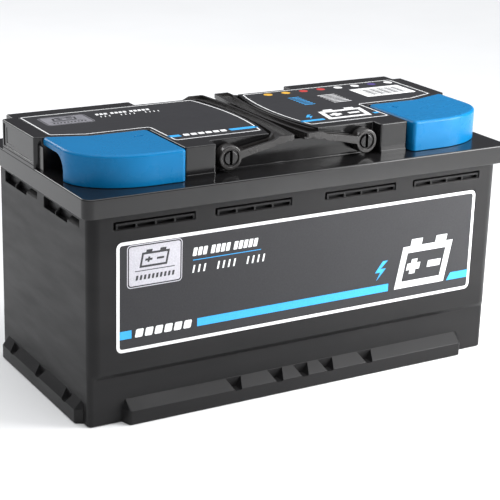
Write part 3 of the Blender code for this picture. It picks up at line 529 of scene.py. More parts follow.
def sintered(name):
    """Porous sintered disc: packed grains."""
    material, tree, shader = node_material(name)
    cells = add_node(tree, "TexVoronoi", {"Vector": own_coordinates(tree), "Scale": 2500})
    grains = cells.outputs["Distance"]
    wire(tree, shader, {
        "Base Color": blend_colours(tree, grains, (0.80, 0.79, 0.75), (0.5, 0.49, 0.46)),
        "Roughness": spread(tree, noise(tree, 500), 0.85, 1.0),
        "Normal": bump(tree, [(grains, 0.5)], mm(0.2)),
    })
    return material


MATERIALS = {
    "case_black": moulded("case_plastic", (0.009, 0.0088, 0.0092), (0.015, 0.0145, 0.015), (0.34, 0.44),
                          0.10, flow=(0.5, 0.5, 2.5), specular=0.2),
    "lid_black": moulded("lid_plastic", (0.007, 0.0068, 0.007), (0.012, 0.0115, 0.012), (0.12, 0.20),
                         0.03, specular=0.45),
    "handle_black": moulded("handle_plastic", (0.016, 0.0145, 0.014), (0.024, 0.022, 0.021), (0.20, 0.30),
                            0.06),
    "cover_blue": moulded("cover_plastic", (0.001, 0.152, 0.365), (0.002, 0.164, 0.390), (0.25, 0.31),
                          0.03, specular=0.18),
    "label_film": printed("label_film_finish", (0.020, 0.020, 0.0225), (0.026, 0.026, 0.029), (0.34, 0.44)),
    "lead": cast_lead("lead_finish", (0.28, 0.29, 0.31), (0.44, 0.45, 0.47), (0.38, 0.60)),
    "positive_plate": pasted_plate("positive_paste", (0.10, 0.045, 0.025), (0.19, 0.095, 0.055)),
    "negative_plate": pasted_plate("negative_paste", (0.22, 0.23, 0.25), (0.34, 0.35, 0.37)),
    "glass_mat": glass_fleece("glass_fibre"),
    "inner_plastic": moulded("inner_polypropylene", (0.09, 0.09, 0.10), (0.14, 0.14, 0.15), (0.40, 0.55),
                             0.10),
    "valve_rubber": moulded("valve_cap_rubber", (0.016, 0.016, 0.016), (0.030, 0.030, 0.030), (0.65, 0.85),
                            0.20, specular=0.3),
    "arrestor_frit": sintered("frit"),
}
INKS = {
    "white": printed("white_ink", (0.80, 0.80, 0.80), (0.90, 0.90, 0.90)),
    "blue": printed("blue_ink", (0.035, 0.36, 0.80), (0.050, 0.42, 0.88)),
    "silver": printed("silver_ink", (0.46, 0.45, 0.49), (0.58, 0.57, 0.61), (0.34, 0.48), 0.85),
    "dark": printed("dark_ink", (0.030, 0.030, 0.034), (0.045, 0.045, 0.050)),
    "amber": printed("amber_ink", (0.70, 0.38, 0.04), (0.80, 0.46, 0.06)),
    "red": printed("red_ink", (0.45, 0.035, 0.035), (0.56, 0.06, 0.05)),
    "violet": printed("violet_ink", (0.06, 0.04, 0.18), (0.09, 0.06, 0.25)),
}


# ---------------------------------------------------------------- case

def case_ring(z, half_y, corner):
    return z, rectangle(-CASE_X, -half_y, CASE_X, half_y, corner, 8)


def case_body(steps=8):
    """Straight ends; the long walls step in towards the foot."""
    rings = [(z, offset(case_ring(0, FOOT_Y, FOOT_CORNER)[1], out)) for z, out in soft_foot(0, FOOT_EDGE)]
    for step in range(steps + 1):
        share = step / steps
        ease = share * share * (3 - 2 * share)
        rings.append(case_ring(STEP_LOW + (STEP_HIGH - STEP_LOW) * share, FOOT_Y + (CASE_Y - FOOT_Y) * ease,
                               FOOT_CORNER + (CASE_CORNER - FOOT_CORNER) * ease))
    rings.append(case_ring(CASE_TOP, CASE_Y, CASE_CORNER))
    return skin("case_moulding", rings)


def ledge_profile(reach, wall, top):
    """(height, reach) up the outside of a ledge, with soft lower and upper edges."""
    root = wall - LEDGE_ROOT
    outline = rounded([(root, 0, 0), (reach, 0, LEDGE_TOE), (reach, LEDGE_FACE, LEDGE_BROW), (wall, top, 0),
                       (root, top, 0)], 0, 4)
    return [(z, out) for out, z in outline[1:-1]]


def notch(centre, face, wall):
    """A slanted notch down through the slope of a ledge."""
    outline = rounded([(centre - NOTCH_HALF_FLOOR, NOTCH_FLOOR, NOTCH_CORNER),
                       (centre + NOTCH_HALF_FLOOR, NOTCH_FLOOR, NOTCH_CORNER),
                       (centre + NOTCH_HALF_TOP, NOTCH_TOP, 0), (centre - NOTCH_HALF_TOP, NOTCH_TOP, 0)], 0)
    return prism("notch", outline, wall + CLEARANCE, HALF_LENGTH + PAST, face)


def ledge(name, half_along, reach, wall, top, faces, notches):
    """A notched ledge on two opposite walls, as one bar through the case."""
    root = wall - mm(1)
    layers = []
    for z, out in ledge_profile(reach, root, top):
        outline = mirrored([(half_along + LEDGE_FLARE, min(root, out - mm(0.5)), 0),
                            (half_along, out, LEDGE_CORNER)])
        outline += [(-x, -y, radius) for x, y, radius in outline]
        ring = rounded(outline, 0, 4)
        layers.append((z, [Vector((p.y, -p.x)) for p in ring] if faces is ENDS else ring))
    bar = skin(name, layers)
    cutters = [notch(centre, face, wall) for face in faces.values() for centre in notches]
    cut(bar, gathered("notches", cutters))
    bevel(bar, LEDGE_EDGE)
    return bar


def ledges():
    return (ledge("long_ledge", LONG_LEDGE_X, HALF_WIDTH, FOOT_Y, LONG_LEDGE_TOP, FACES, LONG_NOTCHES),
            ledge("end_ledge", END_LEDGE_Y, HALF_LENGTH, CASE_X, END_LEDGE_TOP, ENDS, END_NOTCHES))


def grip(face, start):
    """Cutters of one grip in a long wall: a shallow lip, the slot along its top, and a row of windows."""
    end, first, foot = start + GRIP_LENGTH, start + GRIP_SLOT, GRIP_LOW + CLEARANCE
    depths = CASE_Y - GRIP_DEPTH, CASE_Y + mm(1)
    lip = solid("lip", rectangle(start, GRIP_LOW, end, GRIP_HIGH, GRIP_CORNER, 3),
                pocket(CASE_Y - GRIP_LIP, CASE_Y, mm(0.2), mm(0.4)), face)
    slot = prism("slot", rectangle(start + CLEARANCE, GRIP_RIDGE, end - CLEARANCE, GRIP_HIGH - CLEARANCE),
                 *depths, face)
    windows = [prism("window", rectangle(start + CLEARANCE, foot, first - GRIP_RIB, GRIP_RIDGE + mm(0.1)),
                     *depths, face)]
    pitch = (end - first) / GRIP_WINDOWS
    for number in range(GRIP_WINDOWS):
        left = first + number * pitch
        window = rectangle(left, foot, left + pitch - GRIP_RIB, GRIP_RIDGE - GRIP_RIB, mm(0.5), 2)
        windows.append(prism("window", window, *depths, face))
    return lip, slot, windows


def end_grip(side, rear):
    """Cutters of one grip in an end wall: two cells with sloping ribs between, and one that ramps out."""
    front = rear - GRIP_LENGTH
    pitch = GRIP_LENGTH / END_GRIP_CELLS
    cells = []
    for number in range(END_GRIP_CELLS):
        start = rear - number * pitch - END_GRIP_RIB
        end = rear - (number + 1) * pitch + END_GRIP_RIB
        if number < END_GRIP_CELLS - 1:
            outline = rectangle(end, END_GRIP_LOW, start, GRIP_HIGH, mm(0.3), 2)
        else:
            outline = rounded([(start, RAMP_LOW), (start, GRIP_HIGH), (front + RAMP_TIP, GRIP_HIGH),
                               (front + RAMP_END, RAMP_END_Z)], mm(0.5), 2)[::-1]
        cells.append(solid("cell", flipped(outline, side),
                           pocket(END_GRIP_FLOOR, CASE_X, mm(0.1), mm(0.5), 2), ENDS[side]))
    outside, inside, top = CASE_X + PAST, END_GRIP_FLOOR + mm(0.1), GRIP_HIGH - mm(0.2)
    slope = rounded([(outside, RIB_SLOPE_OUTSIDE), (outside, top), (inside, top),
                     (inside, RIB_SLOPE_INSIDE)], 0)
    return cells, prism("over_ribs", flipped(slope, -side), front + mm(1.2), rear - mm(0.9), FACES[REAR])


def grips():
    lips, slots, windows, rib_spaces = [], [], [], []
    for face in FACES.values():
        for near in GRIP_STARTS:
            for start in (near, -near - GRIP_LENGTH):
                lip, slot, boxes = grip(face, start)
                lips.append(lip)
                slots.append(slot)
                windows += boxes
    for side in SIDE_NAMES:
        for rear in END_GRIP_REARS:
            cells, over_ribs = end_grip(side, rear)
            windows += cells
            rib_spaces.append(over_ribs)
    groups = {"lips": lips, "slots": slots, "windows": windows, "rib_spaces": rib_spaces}
    return [gathered(name, parts) for name, parts in groups.items()]


def end_grip_backs():
    """Thickenings inside the end walls, behind the grips."""
    return [side_box("back", side, (END_GRIP_FLOOR - GRIP_BACK, -GRIP_BACK_Y, GRIP_BACK_LOW),
                     (CASE_X - PAST, GRIP_BACK_Y, GRIP_BACK_HIGH), mm(0.5)) for side in SIDE_NAMES]


def cell_spaces():
    spaces = []
    half = (CELL_PITCH - PARTITION) / 2
    for number in range(CELLS):
        x = (number - (CELLS - 1) / 2) * CELL_PITCH
        spaces.append(prism("cell", rectangle(x - half, -INSIDE_Y, x + half, INSIDE_Y, mm(1), 3),
                            FLOOR, PARTITION_TOP + mm(1)))
    rim = CASE_X - END_WALL
    top = prism("rim_space", rectangle(-rim, -INSIDE_Y, rim, INSIDE_Y, mm(1), 3),
                PARTITION_TOP, CASE_TOP + mm(5))
    return gathered("cells", spaces), top


def label_space(outline, surface, face=TOP):
    return solid("label_space", outline, pocket(surface - LABEL_DEPTH, surface, mm(0.1), mm(0.2)), face)


def build_case():
    case = case_body()
    join(case, *ledges())
    cut(case, label_space(rectangle(*FRONT_LABEL_SPACE), CASE_Y, FACES[FRONT]))
    cut(case, *cell_spaces())
    join(case, gathered("end_grip_backs", end_grip_backs()))
    cut(case, *grips())
    dress(case, "housing", "case_black", ["case"])


# ---------------------------------------------------------------- lid

def platform_outline():
    half = [(POCKET_X, -POCKET_Y, mm(0.8)), (POCKET_X, -PLATFORM_Y), (RECESS_X, -PLATFORM_Y),
            (RECESS_X, RECESS_INNER_Y, mm(3)), (RECESS_BEND_X, RECESS_INNER_Y + mm(0.3), mm(20)),
            (PLATFORM_X, RECESS_OUTER_Y), (PLATFORM_X, SHOULDER_Y), (PLATFORM_REAR_X, SHOULDER_Y, mm(0.6)),
            (PLATFORM_REAR_X, PLATFORM_Y), (POCKET_X, PLATFORM_Y), (POCKET_X, POCKET_Y, mm(0.8))]
    return rounded(mirrored(half), mm(1.4))


def trough_half_width(y):
    return TROUGH_MIDDLE + (TROUGH_END - TROUGH_MIDDLE) * (y / POCKET_Y) ** 2


def trough_outline(reach, steps=16):
    ys = [reach * (2 * i / steps - 1) for i in range(steps + 1)]
    return rounded(mirrored([(trough_half_width(y), y) for y in ys]), 0)


def top_label_outline(margin, corner, steps=10):
    """The right-hand top label, inset by margin from its recess's edge."""
    low, high = TOP_LABEL_Y[0] + margin, TOP_LABEL_Y[1] - margin
    ys = [high + (low - high) * i / steps for i in range(steps + 1)]
    inner = [(trough_half_width(y) + TOP_LABEL_TROUGH_EDGE + margin, y, 0) for y in ys]
    for i in (0, -1):
        inner[i] = (*inner[i][:2], corner)
    edge, far = RECESS_X - TOP_LABEL_RECESS_EDGE - margin, TOP_LABEL_OUTER[0] - margin
    step = TOP_LABEL_STEP_Y + margin
    recess = [(edge, low), (edge, step), (RECESS_BEND_X + TOP_LABEL_BEND, step),
              (far, TOP_LABEL_OUTER[1] + margin), (far, high)]
    return rounded(inner + recess, corner, 4)


def side_box(name, side, low, high, radius=0.0):
    """A straight-walled box drawn for the right side, or its mirror image on the left."""
    outline = rectangle(*low[:2], *high[:2], radius, 3)
    return prism(name, flipped(outline, side), low[2], high[2])


def lid_hollows():
    """The open spaces under the lid, in groups that don't overlap."""
    under, ceiling = FLANGE - LID_ROOF, LABEL_FLOOR - LID_WALL
    inside_x, inside_y = CASE_X + CLEARANCE, CASE_Y + CLEARANCE
    skirt = prism("skirt_space", rectangle(-inside_x, -inside_y, inside_x, inside_y, CASE_CORNER, 8),
                  LID_BOX[0].z - mm(5), under)
    middle, bend, pocket_y = TROUGH_END + LID_WALL, RECESS_X - LID_WALL, POCKET_Y - LID_WALL
    reach = middle + mm(5)
    centre = prism("middle_space", rectangle(-reach, -pocket_y, reach, pocket_y, mm(2)),
                   under - PAST, TROUGH_FLOOR - LID_WALL)
    ends, corners = [], []
    for side in SIDE_NAMES:
        ends.append(side_box("end_space", side, (middle, -pocket_y, under - mm(3)),
                             (bend, pocket_y, ceiling)))
        corners.append(side_box("corner_space", side,
                                (bend - mm(5), RECESS_OUTER_Y + LID_WALL, under - mm(4)),
                                (PLATFORM_X - LID_WALL, SHOULDER_Y - LID_WALL, ceiling - mm(0.5))))
    return skirt, centre, gathered("end_spaces", ends), gathered("corner_spaces", corners)


def end_panels():
    """Recessed panels in the platform's ends, a small square field in each, and the seam line below."""
    cutters = {
        "panel": (END_PANEL, pocket(PLATFORM_X - PANEL_DEPTH, PLATFORM_X, mm(0.1), mm(0.35))),
        "field": (END_FIELD, pocket(PLATFORM_X - FIELD_DEPTH, PLATFORM_X - PANEL_DEPTH, mm(0.05), mm(0.1))),
        "seam": (END_SEAM, [(PLATFORM_X - SEAM_DEPTH, 0), (PLATFORM_X + mm(3), 0)]),
    }
    groups = []
    for name, ((near, low, far, high, radius), profile) in cutters.items():
        group = []
        for side, face in ENDS.items():
            start, end = sorted((side * near, side * far))
            group.append(solid(name, rectangle(start, low, end, high, radius), profile, face))
        groups.append(gathered(f"{name}s", group))
    return groups


def lid_additions():
    """The platform, the plinths at its corners, the fins at the ends and the feet of the pocket's walls."""
    platform = solid("platform", platform_outline(),
                     [(FLANGE - mm(3), 0), (FLANGE, 0)] + soft_top(LID_TOP, mm(0.8)))
    plinths, fins, feet = [], [], []
    for side in SIDE_NAMES:
        for y in (-PLATFORM_Y - PLINTH_OUT, PLATFORM_Y - PLINTH_DEEP + PLINTH_OUT):
            outline = rectangle(POCKET_X + PLINTH_INSET, y, RECESS_X - PLINTH_INSET, y + PLINTH_DEEP,
                                mm(1), 3)
            plinths.append(solid("plinth", flipped(outline, side), [(FLANGE - PAST, 0), (FLANGE, 0)]
                                 + soft_top(FLANGE + PLINTH_HIGH, mm(0.4))))
        fins.append(side_box("fin", side, (FIN_X[0], FIN_FRONT_Y, FLANGE - mm(1.5)), (FIN_X[1], 0, FIN_TOP),
                             mm(0.3)))
    reach = POCKET_X - POCKET_FOOT_INSET
    low, high = FLANGE - mm(1), FLANGE + POCKET_FOOT_HIGH
    for end in END_NAMES:
        wall, foot = end * (POCKET_Y - mm(1)), end * (POCKET_Y + POCKET_FOOT)
        points = [(foot, low), (wall, low), (wall, high), (foot, high, mm(0.8))]
        feet.append(prism("pocket_foot", rounded(points[::-end], 0, 4), -reach, reach, ENDS[RIGHT]))
    return platform, gathered("plinths", plinths), gathered("fins", fins), gathered("pocket_feet", feet)


def terminal_hole(low, high):
    centre = low.lerp(high, 0.5)
    return prism("terminal_hole", circle(centre.x, centre.y, BUSHING_RADIUS),
                 FLANGE - mm(10), FLANGE + mm(10))


def build_lid():
    flange = rectangle(-HALF_LENGTH, -HALF_WIDTH, HALF_LENGTH, HALF_WIDTH, FLANGE_CORNER, 8)
    lid = solid("lid_moulding", flange, soft_foot(LID_BOX[0].z, mm(0.6)) + soft_top(FLANGE, mm(1.1)))
    join(lid, *lid_additions())
    cut(lid, *lid_hollows())
    cut(lid, solid("trough", trough_outline(POCKET_Y + mm(4)),
                   pocket(TROUGH_FLOOR, LID_TOP, mm(1), mm(0.7))))
    recesses = [label_space(flipped(top_label_outline(0, mm(2)), side), LID_TOP) for side in SIDE_NAMES]
    cut(lid, gathered("label_spaces", recesses))
    cut(lid, *end_panels())
    outlet = solid("gas_outlet", circle(*GAS_OUTLET, 24),
                   [(PLATFORM_X - mm(6), 0), (PLATFORM_X - mm(1.2), 0), (PLATFORM_X - mm(0.4), mm(0.8)),
                    (PLATFORM_X + PAST, mm(0.8))], ENDS[RIGHT])
    cut(lid, gathered("terminal_holes", [terminal_hole(*box) for box in POST_BOXES.values()]), outlet)
    dress(lid, "housing", "lid_black", ["lid"])


# ---------------------------------------------------------------- handles

def bar_x(edge, y):
    middle, end = edge
    return middle + (end - middle) * (y / ARM_OUTSIDE) ** 2


def bar_side(edge, shift, reach, count):
    """One long edge of the right handle's crossbar seen from above, from the front to the rear."""
    ys = [reach * i / count for i in range(-count, count + 1)]
    return [(bar_x(edge, y) + shift, y, 0) for y in ys]


def handle_outline(inset, corner, reach):
    """The right handle seen from above: a bowed crossbar that sweeps round into an arm at each end."""
    front, back = ARM_OUTSIDE - inset, ARM_INSIDE + inset
    inner = bar_side(BAR_INNER, inset, front, 8)[::-1]
    for i in (0, -1):
        inner[i] = (*inner[i][:2], corner)
    turn, sweep = bar_x(BAR_OUTER, back) - inset, ARM_SWEEP + inset
    return rounded(inner + [(reach, -front), (reach, -back), (turn, -back, sweep)]
                   + bar_side(BAR_OUTER, -inset, BAR_STRAIGHT, 6)
                   + [(turn, back, sweep), (reach, back), (reach, front)], mm(0.4), 8)


def across(name, side, points):
    """A cutter that runs across the whole width, drawn as seen from the front for the right side."""
    return prism(name, flipped(rounded(points, 0), side), -HALF_WIDTH, HALF_WIDTH, FACES[FRONT])


def above_handle(side, drop):
    """The space above the handle's top, which slopes down along the arms, lowered by drop."""
    line = [(x, z - drop, radius) for x, z, radius in ARM_TOP_LINE]
    return across("above", side, line + ABOVE_HANDLE)


def build_handle(side):
    name = f"handle_{SIDE_NAMES[side]}"
    heights = HANDLE_LOW, BAR_TOP + mm(3)
    handle = prism(f"{name}_moulding", flipped(handle_outline(0, BAR_CORNER, ARM_JOIN_X), side), *heights)
    cut(handle, above_handle(side, 0), across("below", side, BELOW_HANDLE + ARM_BOTTOM_LINE))
    tips, eyes, holes = [], [], []
    ledge_y, chamfer = ARM_OUTSIDE - EYE_STEP, EYE_RIM + CLEARANCE
    for end, face in FACES.items():
        drawn = -side * end
        centre = drawn * PIVOT.x, PIVOT.z
        tips.append(prism("tip", flipped(rounded(ARM_TIP_LINE, 0), drawn),
                          ARM_OUTSIDE - TIP_DEPTH, ARM_OUTSIDE + mm(1), face))
        eyes.append(solid("eye", circle(*centre, EYE_RADIUS, 64),
                          soft_foot(ARM_INSIDE, mm(0.8)) + soft_top(ARM_OUTSIDE, mm(1)), face))
        holes.append(solid("eye_hole", circle(*centre, EYE_HOLE),
                           [(ARM_INSIDE - PAST, 0), (ledge_y, 0), (ledge_y + mm(0.01), EYE_RIM),
                            (ARM_OUTSIDE - CLEARANCE, EYE_RIM), (ARM_OUTSIDE, chamfer),
                            (ARM_OUTSIDE + PAST, chamfer)], face))
    cut(handle, gathered("tips", tips))
    bevel(handle, BAR_EDGE, 50, 3)
    join(handle, gathered("eyes", eyes))
    channel = prism("channel", flipped(handle_outline(CHANNEL_RIM, mm(1), CHANNEL_END_X), side), *heights)
    combine(channel, "INTERSECT", [above_handle(side, CHANNEL_DEPTH)])
    hollow = rounded(bar_side(BAR_INNER, HOLLOW_RIM, BAR_STRAIGHT, 6)[::-1]
                     + bar_side(BAR_OUTER, -HOLLOW_RIM, BAR_STRAIGHT, 6), 0)
    cut(handle, channel, gathered("eye_holes", holes),
        prism("hollow", flipped(hollow, side), BAR_BOTTOM - PAST, BAR_BOTTOM + HOLLOW_DEPTH))
    dress(handle, name, "handle_black", [name])


def build_pivot_pins():
    """Split snap pins: two prongs with a chamfered tip."""
    radius = (PIN_BOX[1].x - PIN_BOX[0].x) / 2
    root, tip = PIN_BOX[0].y, PIN_BOX[1].y
    for end, face in FACES.items():
        for side in SIDE_NAMES:
            x = PIVOT.x * side * -end
            name = f"pivot_pin_{END_NAMES[end]}_{SIDE_NAMES[side]}"
            pin = solid(f"{name}_moulding", circle(x, PIVOT.z, radius),
                        [(root, 0), (tip - PIN_CHAMFER, 0), (tip - mm(0.2), mm(-0.35)),
                         (tip, -PIN_CHAMFER)], face)
            slot = rectangle(x - PIN_SLOT, PIVOT.z - 2 * radius, x + PIN_SLOT, PIVOT.z + 2 * radius)
            cut(pin, prism("slot", slot, root + PIN_ROOT, tip + mm(1), face))
            dress(pin, "housing", "lid_black", [name])


# ---------------------------------------------------------------- terminals and covers

def cover_outline(steps=14):
    """The right cover seen from above, with a wide elliptical sweep at its outer front corner."""
    low, high = COVER_BOX
    reach = Vector((high.x - COVER_SWEEP.x, COVER_SWEEP.y - low.y))
    sweep = []
    for i in range(steps + 1):
        angle = math.pi / 2 * i / steps
        sweep.append((COVER_SWEEP.x + reach.x * math.sin(angle),
                      COVER_SWEEP.y - reach.y * math.cos(angle), 0))
    back = [(high.x, high.y, COVER_CORNER), (RECESS_BEND_X, COVER_BACK_Y, COVER_BACK_BEND),
            (low.x, COVER_BACK_Y, COVER_BACK_CORNER), (low.x, low.y, COVER_CORNER)]
    return rounded(sweep + back, 0, 6)


def polarity_mark(side):
    """A plus or a minus sunk into the top of a cover."""
    x, y, half, arm = side * MARK_X, MARK_Y, MARK_HALF, MARK_ARM
    if side == LEFT:
        return rectangle(x - half, y - arm, x + half, y + arm, mm(0.4), 2)
    corners = [(half, -arm), (half, arm), (arm, arm), (arm, half), (-arm, half), (-arm, arm), (-half, arm),
               (-half, -arm), (-arm, -arm), (-arm, -half), (arm, -half), (arm, -arm)]
    return rounded([(x + u, y + v) for u, v in corners], mm(0.3), 2)


def build_cover(side):
    name = f"terminal_cover_{SIDE_NAMES[side]}"
    low, high = COVER_BOX
    outline = flipped(cover_outline(), side)
    cover = solid(f"{name}_shell", outline, soft_foot(low.z, mm(0.3), 6) + soft_top(high.z, COVER_EDGE, 6))
    inside = [(height, out - COVER_WALL)
              for height, out in [(low.z - mm(4), 0)] + soft_top(high.z - COVER_WALL, mm(0.9))]
    start = low.z - mm(6)
    cable = [(COVER_SWEEP.y, start), (CABLE_EXIT_REAR_Y, start), (CABLE_EXIT_REAR_Y, CABLE_EXIT_TOP, mm(2)),
             (COVER_SWEEP.y, CABLE_EXIT_TOP, CABLE_EXIT_RADIUS)]
    way_out = prism("cable_exit", flipped(rounded(cable, 0, 10), side),
                    high.x - COVER_WALL - mm(1), high.x + mm(5), ENDS[side])
    behind = side_box("open_back", side,
                      (RECESS_BEND_X + OPEN_BACK_START, COVER_BACK_Y - mm(1), low.z - mm(5)),
                      (high.x - mm(1), 0, CABLE_EXIT_TOP - mm(0.01)))
    mark = solid("mark", polarity_mark(side), pocket(high.z - MARK_DEPTH, high.z, mm(0.05), mm(0.15)))
    cut(cover, solid("inside", outline, inside), way_out, behind, mark)
    dress(cover, name, "cover_blue", [name], angle=28)


def build_terminals():
    """Tapered hollow posts with softened edges on their bushing flanges."""
    seat, shoulder = FLANGE + CLEARANCE, FLANGE + POST_SHOULDER
    bushing = BUSHING_RADIUS - CLEARANCE
    for side, (low, high) in POST_BOXES.items():
        name = TERMINAL_NAMES[side]
        centre = (low + high) / 2
        base, flange = POST_BASES[side], high.x - centre.x
        tip = base - POST_TAPER
        profile = [(low.z, bushing), (seat, bushing), (seat, flange), (shoulder - POST_EDGE, flange),
                   (shoulder - mm(0.15), flange - mm(0.15)), (shoulder, flange - POST_EDGE),
                   (shoulder, base + mm(0.9)), (shoulder + mm(0.25), base + mm(0.3)),
                   (shoulder + mm(0.9), base), (high.z - mm(0.8), tip), (high.z - mm(0.25), tip - mm(0.25)),
                   (high.z, tip - mm(0.8))]
        x, y = centre.xy
        post = skin(f"{name}_casting", [(z, circle(x, y, radius, 64)) for z, radius in profile])
        cut(post, solid("bore", circle(x, y, POST_BORE, 64),
                        [(low.z - PAST, 0), (high.z - mm(0.4), 0), (high.z, mm(0.4)),
                         (high.z + PAST, mm(0.4))]))
        dress(post, "housing", "lead", [name])


# ---------------------------------------------------------------- labels

def ink(name, colour, outlines, face, surface, layer=1):
    """Printed areas of one colour, a thin layer above the film."""
    parts = [prism("area", outline, surface - INK, surface + layer * INK, face) for outline in outlines]
    dress(gathered(name, parts), "housing", "label_film", material=INKS[colour])


def frame_line(name, colour, outline, width, face, surface):
    line = band(name, outline, width, surface - INK, surface + INK, face)
    dress(line, "housing", "label_film", material=INKS[colour])


def blocks(x, low, high, groups, wide, gap):
    """Rows of leaning blocks in place of words: groups lists how many blocks each word has."""
    result = []
    for count in groups:
        for _ in range(count):
            result.append(slanted(rectangle(x, low, x + wide, high, 0.15 * wide, 2)))
            x += wide + gap
        x += 2.2 * gap
    return result


def battery_sign(x, y, width, height, line):
    """A plain battery outline with two poles, a plus and a minus, as solid areas."""
    def bar(x0, y0, x1, y1):
        return [Vector((x + u * width + v * height * LEAN, y + v * height))
                for u, v in ((x0, y0), (x1, y0), (x1, y1), (x0, y1))]
    w, h = line / width, line / height
    case = [bar(0, 0, 1, h), bar(0, 0.86 - h, 1, 0.86), bar(0, h, w, 0.86 - h), bar(1 - w, h, 1, 0.86 - h)]
    poles = [bar(0.14, 0.86, 0.36, 1), bar(0.64, 0.86, 0.86, 1)]
    low, high = 0.43 - h / 2, 0.43 + h / 2
    left, right = 0.29 - w / 2, 0.29 + w / 2
    plus = [bar(0.16, low, 0.42, high), bar(left, 0.43 - 0.15, right, low),
            bar(left, high, right, 0.43 + 0.15)]
    minus = [bar(0.58, low, 0.84, high)]
    return case + poles + plus + minus


def bolt_sign(x, y, height):
    shape = ((0.55, 1), (0.1, 0.42), (0.42, 0.42), (0.2, 0), (0.75, 0.6), (0.42, 0.6), (0.85, 1))
    return [Vector((x + u * height, y + v * height)) for u, v in shape]


def badge(prefix, x0, y0, x1, y1, face, surface):
    """Silver plate inside a thin silver line, with a dark battery sign over a rule and a row of ticks."""
    frame_line(f"{prefix}_badge_line", "silver", rectangle(x0, y0, x1, y1, mm(3)), mm(0.6), face, surface)
    rim = mm(1.5)
    plate = rectangle(x0 + rim, y0 + rim, x1 - rim, y1 - rim, mm(1.8))
    ink(f"{prefix}_badge_plate", "silver", [plate], face, surface)
    wide, high = x1 - x0, y1 - y0
    marks = battery_sign(x0 + 0.22 * wide, y0 + 0.45 * high, 0.5 * wide, 0.4 * high, mm(1.5))
    marks.append(rectangle(x0 + 0.14 * wide, y0 + 0.37 * high, x0 + 0.86 * wide, y0 + 0.39 * high))
    marks += blocks(x0 + 0.15 * wide, y0 + 0.17 * high, y0 + 0.28 * high, [10], 0.04 * wide, 0.033 * wide)
    ink(f"{prefix}_badge_marks", "dark", marks, face, surface, 2)


def build_front_label():
    low, high = FRONT_LABEL_BOX
    face, surface = FACES[FRONT], -low.y
    outline = rectangle(low.x, low.z, high.x, high.z, mm(4.5), 8)
    film = solid("label_front_film", outline, [(-high.y, 0)] + soft_top(surface, mm(0.08), 2), face)
    dress(film, "housing", "label_film", ["label_front"])
    frame_line("label_front_outline", "white", offset(outline, mm(-0.1)), OUTLINE_INK, face, surface)
    badge("label_front", *mm(-143.5, 99, -101.4, 130), face, surface)
    stripe_low, stripe_high = mm(62.8, 68.8)
    stripes = [rectangle(x0, stripe_low, x1, stripe_high) for x0, x1 in (mm(-149.1, -140), mm(-88.9, 74.3))]
    end_stripe = ((129, 62.8), (149.1, 62.8), (149.1, 68.8), (132.6, 68.8))
    stripes.append([Vector(mm(x, z)) for x, z in end_stripe])
    stripes.append(rectangle(*mm(-93, 112.2, -38.5, 112.7)))
    stripes.append(bolt_sign(*mm(60, 72.5, 15)))
    ink("label_front_blue", "blue", stripes, face, surface)
    white = blocks(*mm(-93.5, 115.4, 121.4), [3, 4, 5], *mm(3, 1))
    white += blocks(*mm(-93.5, 103.2, 108.8), [3, 4, 4], *mm(1.3, 3))
    white += blocks(*mm(-137.5, 62.8, 68.8), [6], *mm(5.8, 1.7))
    white += battery_sign(*mm(80, 63, 46, 38, 5.2))
    ink("label_front_white", "white", white, face, surface)


def build_top_films():
    """Films in the lid's recesses, with the same white line on both."""
    low, high = TOP_LABEL_BOX
    for side, side_name in SIDE_NAMES.items():
        name = f"label_top_{side_name}"
        film = solid(f"{name}_film", flipped(top_label_outline(CLEARANCE, mm(2)), side),
                     [(low.z, 0), (high.z - mm(0.05), 0), (high.z, mm(-0.05))])
        dress(film, "housing", "label_film", [name])
        line = flipped(top_label_outline(mm(1.4), mm(2.5)), side)
        frame_line(f"{name}_outline", "white", line, mm(1), TOP, LID_TOP)


def build_top_print():
    """What is printed on the two films."""
    def ticks(x0, x1, first):
        return [rectangle(*mm(x0, y, x1, y + 1.2)) for y in range(first, 32, 4)]
    badge("label_top_left", *mm(-154, 23.5, -117, 47), TOP, LID_TOP)
    white = blocks(*mm(-110, 39, 43.5), [3, 4, 5], *mm(2.5, 0.9))
    white += blocks(*mm(-109, 32.5, 36), [3, 4, 4], *mm(0.8, 2.7))
    white += blocks(*mm(-79, -40.5, -35.5), [6], *mm(4.6, 1.4))
    ink("label_top_left_white", "white", white, TOP, LID_TOP)
    stripes = [rectangle(*mm(-90.5, -40.5, -81, -35.5)), rectangle(*mm(-41, -40.5, -18.5, -35.5))]
    ink("label_top_left_blue", "blue", stripes, TOP, LID_TOP)
    stripes = [rectangle(*mm(18.8, -40.5, 39, -36.5)), rectangle(*mm(84.5, -38.5, 88.5, -35)),
               bolt_sign(*mm(28, -33.5, 11))]
    ink("label_top_right_blue", "blue", stripes + ticks(50, 60, 6), TOP, LID_TOP)
    white = battery_sign(*mm(42, -41, 38, 27, 4)) + ticks(76, 92, 4)
    white.append(rectangle(*mm(111, 9.5, 158, 37, 1.5)))
    ink("label_top_right_white", "white", white, TOP, LID_TOP)
    bars = []
    for i in range(15):
        x = 118 + 2.3 * i
        bars.append(rectangle(*mm(x, 14, x + 0.5 + 0.9 * ((i * 5) % 3) / 2, 32)))
    ink("label_top_right_bars", "dark", bars, TOP, LID_TOP, 2)
    spots = ("amber", "amber", "red", "red", "white", "white", "violet", "white")
    for colour in sorted(set(spots)):
        discs = [circle(*mm(42 + 16.4 * i, 47.5, 3.6), 32)
                 for i, spot in enumerate(spots) if spot == colour]
        ink(f"label_top_right_spots_{colour}", colour, discs, TOP, LID_TOP)


# ---------------------------------------------------------------- inner pieces

